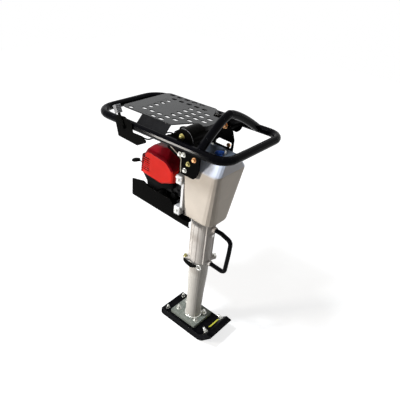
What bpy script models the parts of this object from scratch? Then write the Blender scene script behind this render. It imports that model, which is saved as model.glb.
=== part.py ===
"""Tamping rammer: a petrol engine drives a crank that makes a sprung foot jump on its shoe.

Units are metres, +Z is up and +X is the front. The origin is the middle of the shoe's sole.
The leg leans forwards, so most pieces are written in the leg's own axes: x across the leg
towards the front, y to the far side and z up along the leg from the sole. The handle has its
own axes too, because its loop slopes down towards the front.
"""
import math

import bmesh
import bpy
from mathutils import Vector

# General fits
GAP = 0.0003
RUN = 0.0004

# Leg: where its axis starts, its lean and the heights along it
LEG_FOOT_X = -0.0205
LEG_FOOT_Z = 0.0300
LEG_LEAN = math.radians(2.0)
TUBE_STEP_Z = 0.300
TUBE_TOP_Z = 0.545
TUBE_R = 0.0475
TUBE_FOOT_R = 0.0400
TUBE_BORE_R = 0.0340
TUBE_FLOOR_Z = 0.100
GUIDE_BOTTOM_Z = 0.405
GUIDE_TOP_Z = 0.650
GUIDE_WALL = 0.0045
GUIDE_RIB = 0.0045
GUIDE_RIB_ANGLE = 30
GUIDE_GROOVE = 0.0016
GUIDE_GROOVE_ANGLE = 75
GUIDE_GAP = 0.0006
COLLAR_THICKNESS = 0.014
HANDLE_BOSS_Z = 0.607
SIGHT_PLUG_Z = 0.570

# Shoe and the foot's flange, flat on the ground
SHOE_LENGTH = 0.341
SHOE_WIDTH = 0.168
SOLE_THICKNESS = 0.006
SHOE_HEEL_Z = 0.039
SHOE_TOP_Z = 0.040
TOE_ANGLE = math.radians(48)
TOE_BEND_R = 0.060
TOE_LIP_Z = 0.0725
TOE_TOP_Z = 0.081
TOE_TOP_X = 0.1395
TOE_FOOT_X = 0.0960
HEEL_BOLT_X = -0.1455
SHOE_BOLT_Y = 0.060
FLANGE_LENGTH = 0.1665
FLANGE_WIDTH = 0.138
FLANGE_THICKNESS = 0.016
FLANGE_CENTRE_X = -0.0325
FLANGE_CORNER_R = 0.006
FOOT_BOLT_X = 0.058
FOOT_BOLT_Y = 0.034
BOLT_R = 0.006

# Crank train: one large gear with the crank pin, and the pinion on the clutch drum
ENGINE_Z = 0.800
MODULE = 0.002
PINION_TEETH = 10
GEAR_TEETH = 50
TOOTH_BACKLASH = 0.0005
CRANK_THROW = 0.028
CRANK_SHAFT_R = 0.010
DRUM_SHAFT_R = 0.0065
ROD_LENGTH = 0.195
ROD_THICKNESS = 0.016
WRIST_PIN_R = 0.006
PISTON_ROD_R = 0.010
PISTON_Z = 0.335
PISTON_THICKNESS = 0.020
SPRING_WIRE_R = 0.0040
SPRING_R = 0.0265
SPRING_TURNS = 7

# Gear case
CASE_BACK_X = -0.063
CASE_FRONT_X = 0.117
CASE_FOOT_FRONT_X = 0.088
CASE_TOP_FRONT_X = 0.108
CASE_HALF_WIDTH = 0.098
CASE_FOOT_HALF_WIDTH = 0.073
CASE_TOP_HALF_WIDTH = 0.078
CASE_CORNER_R = 0.028
CASE_FOOT_CORNER_R = 0.046
CASE_FOOT_FILLET = 0.015
CASE_TOP_FILLET = 0.006
CASE_SHOULDER_Z = 0.922
CASE_TOP_Z = 0.970
CASE_WALL = 0.007
CASE_BACK_WALL = 0.012
BEARING_R = 0.0175

# Engine behind the gear case
BELL_BACK_X = -0.100
BELL_LUG_Y = 0.0850
BELL_LUG_LOW_Z = 0.683
BELL_LUG_HIGH_Z = 0.838
BELL_LUG_R = 0.0165
ENGINE_FRONT_X = -0.118
ENGINE_BACK_X = -0.320
ENGINE_HALF_WIDTH = 0.100
CLUTCH_R = 0.036

# Side plates on the gear case, and the rubber mounts between them and the handle's brackets
PLATE_Y = 0.104
PLATE_THICKNESS = 0.006
MOUNT_X = -0.022
MOUNT_Z = 1.058
MOUNT_LENGTH = 0.040
BUFFER_R = 0.028
PLATE_HEAD_R = 0.033
BRACKET_R = 0.047
BRACKET_THICKNESS = 0.006
COVER_THICKNESS = 0.004
COVER_INNER_Y = 0.074

# Handle: a sloping loop of tube, a hoop over its front and a perforated platform
HANDLE_X = -0.1420
HANDLE_Z = 1.0789
HANDLE_SLOPE = math.radians(-0.57)
LOOP_LENGTH = 0.7177
LOOP_WIDTH = 0.3756
LOOP_TUBE_R = 0.017
LOOP_FRONT_CORNER = 0.061
LOOP_REAR_CORNER = 0.089
HOOP_X = 0.238
HOOP_HEIGHT = 0.0987
HOOP_LEAN = 0.016
PLATFORM_Z = 0.0426
PLATFORM_THICKNESS = 0.004
PLATFORM_HALF_WIDTH = 0.1415
PLATFORM_REAR_X = -0.240
PLATFORM_FRONT_X = 0.156
SLOT_LENGTH = 0.022
SLOT_WIDTH = 0.011
SLOT_PITCH_X = 0.0448
SLOT_PITCH_Y = 0.0358
SLOT_FIRST_X = -0.1992
SLOT_ROWS = (
    (0, 7),
    (1, 2, 3, 4, 5, 6, 7),
    (1, 6, 7),
    (0, 1, 6, 7),
    (0, 1, 2, 3, 4, 5, 6, 7),
    (1, 2, 3, 4, 5, 6),
    (2, 3, 4, 5),
    (3, 4),
)

# Throttle lever on its guard at the near rail
LEVER_PIVOT_X = -0.150
LEVER_PIVOT_Z = -0.010
LEVER_LEAN = math.radians(-24)
LEVER_LENGTH = 0.088

# Recoil starter
STARTER_PULLEY_R = 0.030
SPINDLE_R = 0.0050
STARTER_Y = -0.050
GRIP_X = -0.426

COLOURS = {
    "black_paint": ((0.012, 0.012, 0.013), 0.32, 0.0),
    "silver_paint": ((0.55, 0.54, 0.52), 0.42, 0.3),
    "red_cover": ((0.62, 0.02, 0.02), 0.3, 0.0),
    "steel": ((0.55, 0.55, 0.56), 0.3, 1.0),
    "spring_steel": ((0.25, 0.25, 0.27), 0.35, 1.0),
    "cast_aluminium": ((0.62, 0.62, 0.63), 0.5, 0.9),
    "black_rubber": ((0.02, 0.02, 0.02), 0.8, 0.0),
    "black_plastic": ((0.02, 0.02, 0.022), 0.5, 0.0),
    "grey_rubber": ((0.16, 0.16, 0.17), 0.75, 0.0),
    "blue_plug": ((0.02, 0.06, 0.35), 0.4, 0.0),
    "zinc": ((0.62, 0.6, 0.35), 0.35, 0.9),
    "bronze": ((0.55, 0.36, 0.16), 0.4, 0.9),
}


def clear_scene():
    for obj in list(bpy.data.objects):
        bpy.data.objects.remove(obj, do_unlink=True)


def material(node, look):
    colour, roughness, metallic = COLOURS[look]
    made = bpy.data.materials.new(node)
    made.use_nodes = True
    shader = made.node_tree.nodes["Principled BSDF"]
    shader.inputs["Base Color"].default_value = (*colour, 1.0)
    shader.inputs["Roughness"].default_value = roughness
    shader.inputs["Metallic"].default_value = metallic
    return made


def axes(name, location, turn_y=0.0, parent=None):
    """Empty that carries pieces: its place is on the axis about which or along which they move."""
    empty = bpy.data.objects.new(name, None)
    empty.location = location
    empty.rotation_euler = (0.0, turn_y, 0.0)
    empty.parent = parent
    bpy.context.collection.objects.link(empty)
    return empty


def settle(obj, look, carrier):
    """Gives an object its material and its carrier; its mesh is written in the axes above the carrier."""
    bpy.context.collection.objects.link(obj)
    if look is None:
        obj.hide_render = True
        obj.display_type = "WIRE"
    else:
        obj.data.materials.append(material(obj.name, look))
    obj.parent = carrier
    if carrier.parent is not None:
        obj.location = -carrier.location
    return obj


def mesh_object(name, bm, look, carrier):
    bmesh.ops.recalc_face_normals(bm, faces=bm.faces)
    mesh = bpy.data.meshes.new(name)
    bm.to_mesh(mesh)
    bm.free()
    mesh.shade_smooth()
    mesh.set_sharp_from_angle(angle=math.radians(32))
    return settle(bpy.data.objects.new(name, mesh), look, carrier)


def rounded(points, radius, steps=4, closed=True):
    """Outline with its corners replaced by arcs: one radius, or one for each corner."""
    corners = [Vector(point) for point in points]
    radii = [radius] * len(corners) if isinstance(radius, (int, float)) else list(radius)
    outline = []
    for i, corner in enumerate(corners):
        at_end = not closed and i in (0, len(corners) - 1)
        before = corners[i - 1] - corner
        after = corners[(i + 1) % len(corners)] - corner
        half = before.angle(after) / 2
        if at_end or radii[i] <= 0 or half > math.radians(89):
            outline.append(corner)
            continue
        reach = min(radii[i] / math.tan(half), 0.49 * min(before.length, after.length))
        size = reach * math.tan(half)
        centre = corner + (before.normalized() + after.normalized()).normalized() * size / math.sin(half)
        first = corner + before.normalized() * reach - centre
        last = corner + after.normalized() * reach - centre
        begin = math.atan2(first.y, first.x)
        sweep = (math.atan2(last.y, last.x) - begin + math.pi) % (2 * math.pi) - math.pi
        for k in range(steps + 1):
            angle = begin + sweep * k / steps
            outline.append(centre + size * Vector((math.cos(angle), math.sin(angle))))
    return outline


def arc(centre, radius, start, end, steps):
    """Points of an arc between two angles in degrees."""
    turn = [math.radians(start + (end - start) * k / steps) for k in range(steps + 1)]
    return [(centre[0] + radius * math.cos(a), centre[1] + radius * math.sin(a)) for a in turn]


def along(axis, plane_point, depth):
    """Point in space from a point drawn across an axis and a depth along it."""
    a, b = plane_point
    return {"x": (depth, a, b), "y": (a, depth, b), "z": (a, b, depth)}[axis]


def add_prism(bm, outline, axis, low, high):
    base = bm.faces.new([bm.verts.new(along(axis, p, low)) for p in outline])
    moved = bmesh.ops.extrude_face_region(bm, geom=[base])["geom"]
    top = [item for item in moved if isinstance(item, bmesh.types.BMVert)]
    bmesh.ops.translate(bm, verts=top, vec=Vector(along(axis, (0, 0), high - low)))


def prism(name, outline, axis, low, high, look, carrier):
    """One outline, drawn across an axis and extruded along it."""
    bm = bmesh.new()
    add_prism(bm, outline, axis, low, high)
    return mesh_object(name, bm, look, carrier)


def block(name, low, high, look, carrier, bevel=0.0):
    """Box between two corners, with its edges bevelled."""
    outline = ((low[0], low[1]), (high[0], low[1]), (high[0], high[1]), (low[0], high[1]))
    obj = prism(name, outline, "z", low[2], high[2], look, carrier)
    if bevel:
        soften(obj, bevel)
    return obj


def add_rings(bm, rings, closed=False):
    """Skin over rings of as many points each; open ends get a cap."""
    loops = [[bm.verts.new(point) for point in ring] for ring in rings]
    pairs = list(zip(loops, loops[1:]))
    if closed:
        pairs.append((loops[-1], loops[0]))
    for lower, upper in pairs:
        for k in range(len(lower)):
            bm.faces.new((lower[k - 1], lower[k], upper[k], upper[k - 1]))
    if not closed:
        bm.faces.new(loops[0])
        bm.faces.new(loops[-1])


def lofted(name, rings, look, carrier, twisted=False):
    """Skin over rings; where its strips are twisted, each face is split into flat triangles."""
    bm = bmesh.new()
    add_rings(bm, rings)
    if twisted:
        bmesh.ops.triangulate(bm, faces=[face for face in bm.faces if len(face.verts) == 4])
    return mesh_object(name, bm, look, carrier)


def circle(radius, depth, axis, centre, sides):
    turn = [2 * math.pi * k / sides for k in range(sides)]
    return [along(axis, (centre[0] + radius * math.cos(a), centre[1] + radius * math.sin(a)), depth)
            for a in turn]


def turned(name, profile, axis, centre, look, carrier, sides=32):
    """Turned piece: its profile is (radius, depth) points, closed into a ring if it has a bore."""
    bm = bmesh.new()
    rings = [circle(radius, depth, axis, centre, sides) for radius, depth in profile if radius > 0]
    add_rings(bm, rings, closed=profile[0][0] > 0)
    return mesh_object(name, bm, look, carrier)


def rod(name, radius, low, high, axis, centre, look, carrier, sides=24):
    """Plain round bar."""
    return turned(name, ((0, low), (radius, low), (radius, high), (0, high)), axis, centre, look, carrier,
                  sides)


def ring(name, outer, bore, low, high, axis, centre, look, carrier, sides=32):
    """Plain bush or washer."""
    profile = ((bore, low), (outer, low), (outer, high), (bore, high))
    return turned(name, profile, axis, centre, look, carrier, sides)


def soften(obj, width, segments=2, angle=40):
    bevel = obj.modifiers.new("edge", "BEVEL")
    bevel.width = width
    bevel.segments = segments
    bevel.limit_method = "ANGLE"
    bevel.angle_limit = math.radians(angle)
    return obj


def combine(obj, tool, operation):
    """Boolean with a guide object, which the solver needs but the part leaves out."""
    change = obj.modifiers.new(tool.name, "BOOLEAN")
    change.operation = operation
    change.solver = "EXACT"
    change.object = tool
    return obj


def cut(obj, *tools):
    for tool in tools:
        combine(obj, tool, "DIFFERENCE")
    return obj


def fuse(obj, *tools):
    for tool in tools:
        combine(obj, tool, "UNION")
    return obj


def offset_path(path, distance):
    """Path moved sideways by a distance, to its left."""
    points = [Vector(point) for point in path]
    moved = []
    for i, point in enumerate(points):
        before = (point - points[max(i - 1, 0)]).normalized()
        after = (points[min(i + 1, len(points) - 1)] - point).normalized()
        way = (before + after).normalized()
        side = Vector((-way.y, way.x))
        straight = after if after.length > 0 else before
        moved.append(point + side * distance / max(0.5, side.dot(Vector((-straight.y, straight.x)))))
    return moved


def sheet(name, path, thickness, axis, low, high, look, carrier):
    """Bent sheet: a path with its thickness on both sides, extruded along an axis."""
    outline = offset_path(path, thickness / 2) + offset_path(path, -thickness / 2)[::-1]
    return prism(name, outline, axis, low, high, look, carrier)


def smooth_path(points, steps):
    """Points of a smooth curve through the given points."""
    knots = [Vector(p) for p in points]
    knots = [2 * knots[0] - knots[1]] + knots + [2 * knots[-1] - knots[-2]]
    path = []
    for a, b, c, d in zip(knots, knots[1:], knots[2:], knots[3:]):
        for k in range(steps):
            t = k / steps
            path.append(0.5 * (2 * b + (c - a) * t + (2 * a - 5 * b + 4 * c - d) * t * t
                               + (3 * b - a - 3 * c + d) * t * t * t))
    return path + [knots[-2]]


def pipe(name, path, radius, look, carrier, sides=10):
    """Round bar along a path, as a mesh that a Boolean can use."""
    points = [Vector(point) for point in path]
    ways = [(points[min(i + 1, len(points) - 1)] - points[max(i - 1, 0)]).normalized()
            for i in range(len(points))]
    side = ways[0].orthogonal().normalized()
    rings = []
    for point, way in zip(points, ways):
        side = (side - way * side.dot(way)).normalized()
        up = way.cross(side)
        turn = [2 * math.pi * k / sides for k in range(sides)]
        rings.append([point + radius * (side * math.cos(a) + up * math.sin(a)) for a in turn])
    return lofted(name, rings, look, carrier)


def cable(name, path, radius, look, carrier, resolution=2, cyclic=False):
    """Cord or closed hoop of round section, as a curve with a bevel."""
    curve = bpy.data.curves.new(name, "CURVE")
    curve.dimensions = "3D"
    curve.bevel_depth = radius
    curve.bevel_resolution = resolution
    curve.use_fill_caps = not cyclic
    spline = curve.splines.new("POLY")
    spline.points.add(len(path) - 1)
    for point, place in zip(spline.points, path):
        point.co = (*place, 1.0)
        point.radius = 1.0
    spline.use_cyclic_u = cyclic
    spline.use_smooth = True
    return settle(bpy.data.objects.new(name, curve), look, carrier)


def leg_to_world(x, z):
    """World x and z of a point written in the leg's axes."""
    cos, sin = math.cos(LEG_LEAN), math.sin(LEG_LEAN)
    return LEG_FOOT_X + x * cos + z * sin, LEG_FOOT_Z + z * cos - x * sin


def leg_to_handle(x, z):
    """Handle x and z of a point written in the leg's axes."""
    world_x, world_z = leg_to_world(x, z)
    cos, sin = math.cos(HANDLE_SLOPE), math.sin(HANDLE_SLOPE)
    across, up = world_x - HANDLE_X, world_z - HANDLE_Z
    return across * cos - up * sin, across * sin + up * cos


GEAR_Z = ENGINE_Z + MODULE * (PINION_TEETH + GEAR_TEETH) / 2
CRANK_PIN_Z = GEAR_Z + CRANK_THROW
WRIST_Z = CRANK_PIN_Z - ROD_LENGTH
GUIDE_BORE_R = TUBE_R + GUIDE_GAP
GUIDE_R = GUIDE_BORE_R + GUIDE_WALL
PISTON_TOP_Z = PISTON_Z + PISTON_THICKNESS
CAP_SPIGOT = 0.010
CAP_THICKNESS = 0.012
FLANGE_Z = SHOE_TOP_Z + GAP
FLANGE_TOP_Z = FLANGE_Z + FLANGE_THICKNESS


def sole_path():
    """Middle line of the sole's sheet in world x and z, from the heel's lip to the toe's lip."""
    half, mid = SHOE_LENGTH / 2, SOLE_THICKNESS / 2
    bend = half - TOE_LIP_Z / math.tan(TOE_ANGLE) - mid * math.tan(TOE_ANGLE / 2)
    lip = (half - mid * math.sin(TOE_ANGLE), TOE_LIP_Z + mid * math.cos(TOE_ANGLE))
    points = ((mid - half, SHOE_HEEL_Z), (mid - half, mid), (bend, mid), lip)
    return rounded(points, (0, 0.010, TOE_BEND_R, 0), 6, closed=False)


def shoe(carrier):
    """Bent steel sole with an impact block inside it, held by a bolt near each corner."""
    side, half = SHOE_WIDTH / 2, SHOE_LENGTH / 2
    sheet("sole_plate", sole_path(), SOLE_THICKNESS, "y", -side, side, "black_paint", carrier)
    inner = offset_path(sole_path(), SOLE_THICKNESS / 2 + GAP)
    top = rounded((inner[-1], (TOE_TOP_X, TOE_TOP_Z), (TOE_FOOT_X, SHOE_TOP_Z), (inner[0].x, SHOE_TOP_Z),
                   inner[0]),
                  (0, 0.005, 0.020, 0, 0), 3, closed=False)
    impact_block = prism("shoe_block", inner + top[1:-1], "y", -side + 0.001, side - 0.001, "black_plastic",
                         carrier)
    slope = math.atan2(TOE_TOP_Z - SHOE_TOP_Z, TOE_TOP_X - TOE_FOOT_X)
    middle = ((TOE_TOP_X + TOE_FOOT_X) / 2 + 0.003, 0, (TOE_TOP_Z + SHOE_TOP_Z) / 2 + 0.003)
    on_toe = axes("toe_axes", middle, -slope, carrier.parent)
    on_heel = axes("heel_axes", (HEEL_BOLT_X, 0, SHOE_TOP_Z), 0.0, carrier.parent)
    for end, place in (("toe", on_toe), ("heel", on_heel)):
        bolts = axes(f"{end}_bolt_axes", (0, 0, 0), 0.0, place)
        for name, y in (("near", -SHOE_BOLT_Y), ("far", SHOE_BOLT_Y)):
            profile = ((0, -0.010), (0.0125, -0.010), (0.0125, 0.0025), (0.0085, 0.0025), (0.0085, 0.009),
                       (0, 0.009))
            fuse(impact_block, turned(f"{end}_bolt_{name}", profile, "z", (0, y), None, bolts, 8))


def foot_casting(ground, ram):
    """Spring cylinder cast in one with the flange that is bolted to the shoe."""
    x = FLANGE_CENTRE_X
    half_x, half_y = FLANGE_LENGTH / 2, FLANGE_WIDTH / 2
    corners = ((x - half_x, -half_y), (x + half_x, -half_y), (x + half_x, half_y), (x - half_x, half_y))
    casting = prism("spring_cylinder", rounded(corners, FLANGE_CORNER_R, 2), "z", FLANGE_Z, FLANGE_TOP_Z,
                    "silver_paint", ground)
    bottom = FLANGE_Z + 0.006 - LEG_FOOT_Z
    top = FLANGE_TOP_Z - LEG_FOOT_Z
    profile = ((0, bottom), (TUBE_FOOT_R + 0.003, bottom), (TUBE_FOOT_R + 0.003, top + 0.004),
               (TUBE_FOOT_R, top + 0.011), (TUBE_FOOT_R, TUBE_FLOOR_Z), (TUBE_FOOT_R + 0.002, 0.200),
               (TUBE_R - 0.0015, TUBE_STEP_Z - 0.018), (TUBE_R - 0.0012, TUBE_STEP_Z),
               (TUBE_R, TUBE_STEP_Z + 0.003), (TUBE_R, TUBE_TOP_Z), (0, TUBE_TOP_Z))
    tube = turned("cylinder_outside", profile, "z", (0, 0), None, ram, 28)
    bore = rod("cylinder_bore", TUBE_BORE_R, TUBE_FLOOR_Z, TUBE_TOP_Z + 0.01, "z", (0, 0), None, ram, 24)
    fuse(casting, tube)
    cut(casting, bore)
    for end, bolt_x in (("front", x + FOOT_BOLT_X), ("rear", x - FOOT_BOLT_X)):
        for name, y in (("near", -FOOT_BOLT_Y), ("far", FOOT_BOLT_Y)):
            cut(casting, rod(f"foot_{end}_{name}_hole", BOLT_R, 0, 0.1, "z", (bolt_x, y), None, ground, 10))
            top = FLANGE_TOP_Z + GAP
            profile = ((0, FLANGE_Z + GAP), (BOLT_R - 2 * GAP, FLANGE_Z + GAP), (BOLT_R - 2 * GAP, top),
                       (0.0115, top),
                       (0.0115, top + 0.0025), (0.0090, top + 0.0025), (0.0090, top + 0.010),
                       (0.0055, top + 0.010), (0.0055, top + 0.015), (0, top + 0.015))
            turned(f"foot_bolt_{end}_{name}", profile, "z", (bolt_x, y), "zinc", ground, 8)
    inside = TUBE_BORE_R - GAP
    low, top = TUBE_TOP_Z + GAP, TUBE_TOP_Z + GAP + CAP_THICKNESS
    profile = ((PISTON_ROD_R + RUN, low - CAP_SPIGOT), (inside, low - CAP_SPIGOT), (inside, low),
               (TUBE_R - 0.0005, low), (TUBE_R - 0.0005, top - 0.002), (TUBE_R - 0.003, top),
               (PISTON_ROD_R + RUN, top))
    turned("cylinder_cap", profile, "z", (0, 0), "cast_aluminium", ram, 20)


def coil(name, low, high, carrier):
    """Helical spring between two seats."""
    steps = 6 * SPRING_TURNS
    path = []
    for k in range(steps + 1):
        angle = 2 * math.pi * SPRING_TURNS * k / steps
        height = low + SPRING_WIRE_R + GAP + (high - low - 2 * SPRING_WIRE_R - 2 * GAP) * k / steps
        path.append((SPRING_R * math.cos(angle), SPRING_R * math.sin(angle), height))
    cable(name, path, SPRING_WIRE_R, "spring_steel", carrier, resolution=1)


def piston_train(carrier):
    """Rod with a fork for the connecting rod, a piston on its lower end and a spring on each side of it."""
    cheek = ROD_THICKNESS / 2 + 0.0005
    fork_floor = WRIST_Z - 2 * CRANK_THROW - 0.019
    outline = ((-cheek, WRIST_Z + 0.016), (-cheek, fork_floor), (cheek, fork_floor),
               (cheek, WRIST_Z + 0.016))
    outer = ((cheek + 0.006, WRIST_Z + 0.016), (cheek + 0.006, fork_floor - 0.012),
             (-cheek - 0.006, fork_floor - 0.012), (-cheek - 0.006, WRIST_Z + 0.016))
    fork = prism("piston_rod", rounded(outline + outer, (0, 0.003, 0.003, 0, 0, 0.004, 0.004, 0), 2), "y",
                 -0.013, 0.013, "steel", carrier)
    nut_z = PISTON_Z - GAP - 0.012
    profile = ((0, nut_z - 0.004), (PISTON_ROD_R - 0.002, nut_z - 0.004),
               (PISTON_ROD_R - 0.002, PISTON_TOP_Z),
               (PISTON_ROD_R, PISTON_TOP_Z), (PISTON_ROD_R, fork_floor - 0.006), (0, fork_floor - 0.006))
    fuse(fork, turned("rod_outside", profile, "z", (0, 0), None, carrier, 18))
    cut(fork, rod("wrist_hole", WRIST_PIN_R + GAP, -0.03, 0.03, "x", (0, WRIST_Z), None, carrier, 16))
    stem = PISTON_ROD_R - 0.002 + 0.0005
    profile = ((stem, PISTON_Z), (TUBE_BORE_R - RUN - 0.002, PISTON_Z),
               (TUBE_BORE_R - RUN - 0.0002, PISTON_Z + 0.003),
               (TUBE_BORE_R - RUN - 0.0002, PISTON_TOP_Z - 0.003),
               (TUBE_BORE_R - RUN - 0.002, PISTON_TOP_Z - GAP),
               (stem, PISTON_TOP_Z - GAP))
    turned("spring_piston", profile, "z", (0, 0), "steel", carrier, 20)
    ring("piston_nut", 0.015, 0.0098, nut_z, PISTON_Z - GAP, "z", (0, 0), "steel", carrier, 6)
    coil("lower_spring", TUBE_FLOOR_Z, PISTON_Z, carrier)
    coil("upper_spring", PISTON_TOP_Z, TUBE_TOP_Z + GAP - CAP_SPIGOT, carrier)


def connecting_rod(carrier):
    """Rod between the crank pin and the fork, with its wrist pin in the small eye."""
    half = ROD_THICKNESS / 2
    big, small = (0, CRANK_PIN_Z), (0, WRIST_Z)
    outline = arc(big, 0.019, -62, 242, 16) + arc(small, 0.0135, 125, 415, 12)
    link = prism("connecting_rod", outline, "x", -half, half, "steel", carrier)
    cut(link, rod("big_eye", 0.0095, -0.02, 0.02, "x", big, None, carrier, 20))
    cut(link, rod("small_eye", WRIST_PIN_R + GAP + 0.0001, -0.02, 0.02, "x", small, None, carrier, 16))
    rod("wrist_pin", WRIST_PIN_R, -half, half, "x", small, "steel", carrier, 16)


def gear_outline(teeth, centre, phase):
    """Involute gear: its outline across x, with one tooth at the phase angle."""
    pressure = math.radians(20)
    pitch = MODULE * teeth / 2
    base = pitch * math.cos(pressure)
    root, tip = pitch - 1.25 * MODULE, pitch + 0.9 * MODULE

    def half_angle(radius):
        angle = math.acos(min(1.0, base / radius))
        involute = (math.tan(pressure) - pressure) - (math.tan(angle) - angle)
        return math.pi / (2 * teeth) - TOOTH_BACKLASH / (2 * pitch) + involute

    flank = [root, tip] if base < root else [root, base, pitch, tip]
    points = []
    for tooth in range(teeth):
        middle = phase + 2 * math.pi * tooth / teeth
        sides = [(radius, middle - half_angle(max(radius, base))) for radius in flank]
        sides += [(radius, middle + half_angle(max(radius, base))) for radius in reversed(flank)]
        points += [(centre[0] + radius * math.cos(a), centre[1] + radius * math.sin(a))
                   for radius, a in sides]
    return points


def crank_gear(carrier):
    """Large gear with its shaft behind it and the crank pin in front, at the top of its turn."""
    back, front = -0.030, -0.016
    centre = (0, GEAR_Z)
    gear = prism("crank_gear", gear_outline(GEAR_TEETH, centre, -math.pi / 2), "x", back, front, "steel",
                 carrier)
    shaft = turned("crank_shaft", ((0, CASE_BACK_X + 0.002), (CRANK_SHAFT_R, CASE_BACK_X + 0.002),
                                   (CRANK_SHAFT_R, -0.040), (0.016, -0.038), (0.016, -0.024), (0, -0.024)),
                   "x", centre, None, carrier, 20)
    pin = turned("crank_pin", ((0, -0.020), (0.013, -0.020), (0.013, -ROD_THICKNESS / 2 - 0.0005),
                               (0.009, -ROD_THICKNESS / 2 - 0.0005), (0.009, ROD_THICKNESS / 2 + 0.003),
                               (0, ROD_THICKNESS / 2 + 0.003)), "x", (0, CRANK_PIN_Z), None, carrier, 20)
    fuse(gear, shaft, pin)
    for k in range(5):
        angle = math.radians(150 + 60 * k)
        place = (0.032 * math.cos(angle), GEAR_Z + 0.032 * math.sin(angle))
        cut(gear, rod(f"gear_hole_{k}", 0.009, -0.05, 0.0, "x", place, None, carrier, 6))


def clutch_drum(carrier):
    """Drum driven by the engine's clutch, on one shaft with the pinion."""
    centre = (0, ENGINE_Z)
    phase = math.pi / 2 + math.pi / PINION_TEETH
    pinion = prism("pinion_shaft", gear_outline(PINION_TEETH, centre, phase), "x", -0.031, -0.015, "steel",
                   carrier)
    shaft = turned("pinion_journal",
                   ((0, -0.086), (DRUM_SHAFT_R, -0.086), (DRUM_SHAFT_R, -0.068), (0.010, -0.068),
                                      (0.010, -0.036), (0.0072, -0.034), (0.0072, -0.020), (0, -0.020)),
                   "x", centre, None, carrier, 18)
    fuse(pinion, shaft)
    rim, hub = CLUTCH_R + 0.0025, DRUM_SHAFT_R + GAP + 0.0001
    profile = ((hub, -0.0845), (0.014, -0.0845), (0.014, -0.0725), (rim, -0.0725), (rim, -0.0975),
               (rim + 0.004, -0.0975), (rim + 0.004, -0.0695), (hub, -0.0695))
    turned("clutch_drum", profile, "x", centre, "steel", carrier, 20)


def engine_shaft(carrier):
    """Engine's crankshaft with the clutch's rotor in front and the fan behind."""
    centre = (0, ENGINE_Z)
    rod("engine_crankshaft", 0.0095, -0.300, -0.0865, "x", centre, "steel", carrier, 16)
    hub = 0.0095 + GAP + 0.0002
    profile = ((hub, -0.0985), (0.018, -0.0985), (0.018, -0.0965), (CLUTCH_R, -0.0965), (CLUTCH_R, -0.0870),
               (hub, -0.0870))
    rotor = turned("clutch_rotor", profile, "x", centre, "cast_aluminium", carrier, 20)
    for k in range(3):
        angle = math.radians(90 + 120 * k)
        way = Vector((math.cos(angle), math.sin(angle)))
        side = Vector((-way.y, way.x)) * 0.0015
        slot = [Vector(centre) + way * 0.019 - side, Vector(centre) + way * 0.05 - side,
                Vector(centre) + way * 0.05 + side, Vector(centre) + way * 0.019 + side]
        cut(rotor, prism(f"shoe_gap_{k}", slot, "x", -0.11, -0.08, None, carrier))
    profile = ((hub, -0.2800), (0.048, -0.2800), (0.052, -0.2760), (0.052, -0.2700), (0.020, -0.2660),
               (hub, -0.2660))
    fan = turned("flywheel_fan", profile, "x", centre, "cast_aluminium", carrier, 18)
    for k in range(6):
        angle = 2 * math.pi * k / 6
        way = Vector((math.cos(angle), math.sin(angle)))
        side = Vector((-way.y, way.x)) * 0.0015
        blade = [Vector(centre) + way * 0.024 - side, Vector(centre) + way * 0.0515 - side,
                 Vector(centre) + way * 0.0515 + side, Vector(centre) + way * 0.024 + side]
        fuse(fan, prism(f"fan_blade_{k}", blade, "x", -0.2720, -0.2610, None, carrier))


def case_section(z, inset=0.0, wall=0.0):
    """Rounded outline of the gear case at one height, from the lip at the guide up to the top."""
    rise = min(1.0, (z - GUIDE_TOP_Z) / (CASE_SHOULDER_Z - GUIDE_TOP_Z))
    close = max(0.0, (z - CASE_SHOULDER_Z) / (CASE_TOP_Z - CASE_SHOULDER_Z))
    half = CASE_FOOT_HALF_WIDTH + (CASE_HALF_WIDTH - CASE_FOOT_HALF_WIDTH) * rise
    half += (CASE_TOP_HALF_WIDTH - CASE_HALF_WIDTH) * close - inset - wall
    front = CASE_FOOT_FRONT_X + (CASE_FRONT_X - CASE_FOOT_FRONT_X) * rise
    front += (CASE_TOP_FRONT_X - CASE_FRONT_X) * close - inset - wall
    back = CASE_BACK_X + (CASE_BACK_WALL if wall else 0.0)
    corner = CASE_FOOT_CORNER_R + (CASE_CORNER_R - CASE_FOOT_CORNER_R) * rise - inset - wall
    corners = ((back, -half), (front, -half), (front, half), (back, half))
    return [(x, y, z) for x, y in rounded(corners, (0.008, corner, corner, 0.008), 4)]


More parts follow.
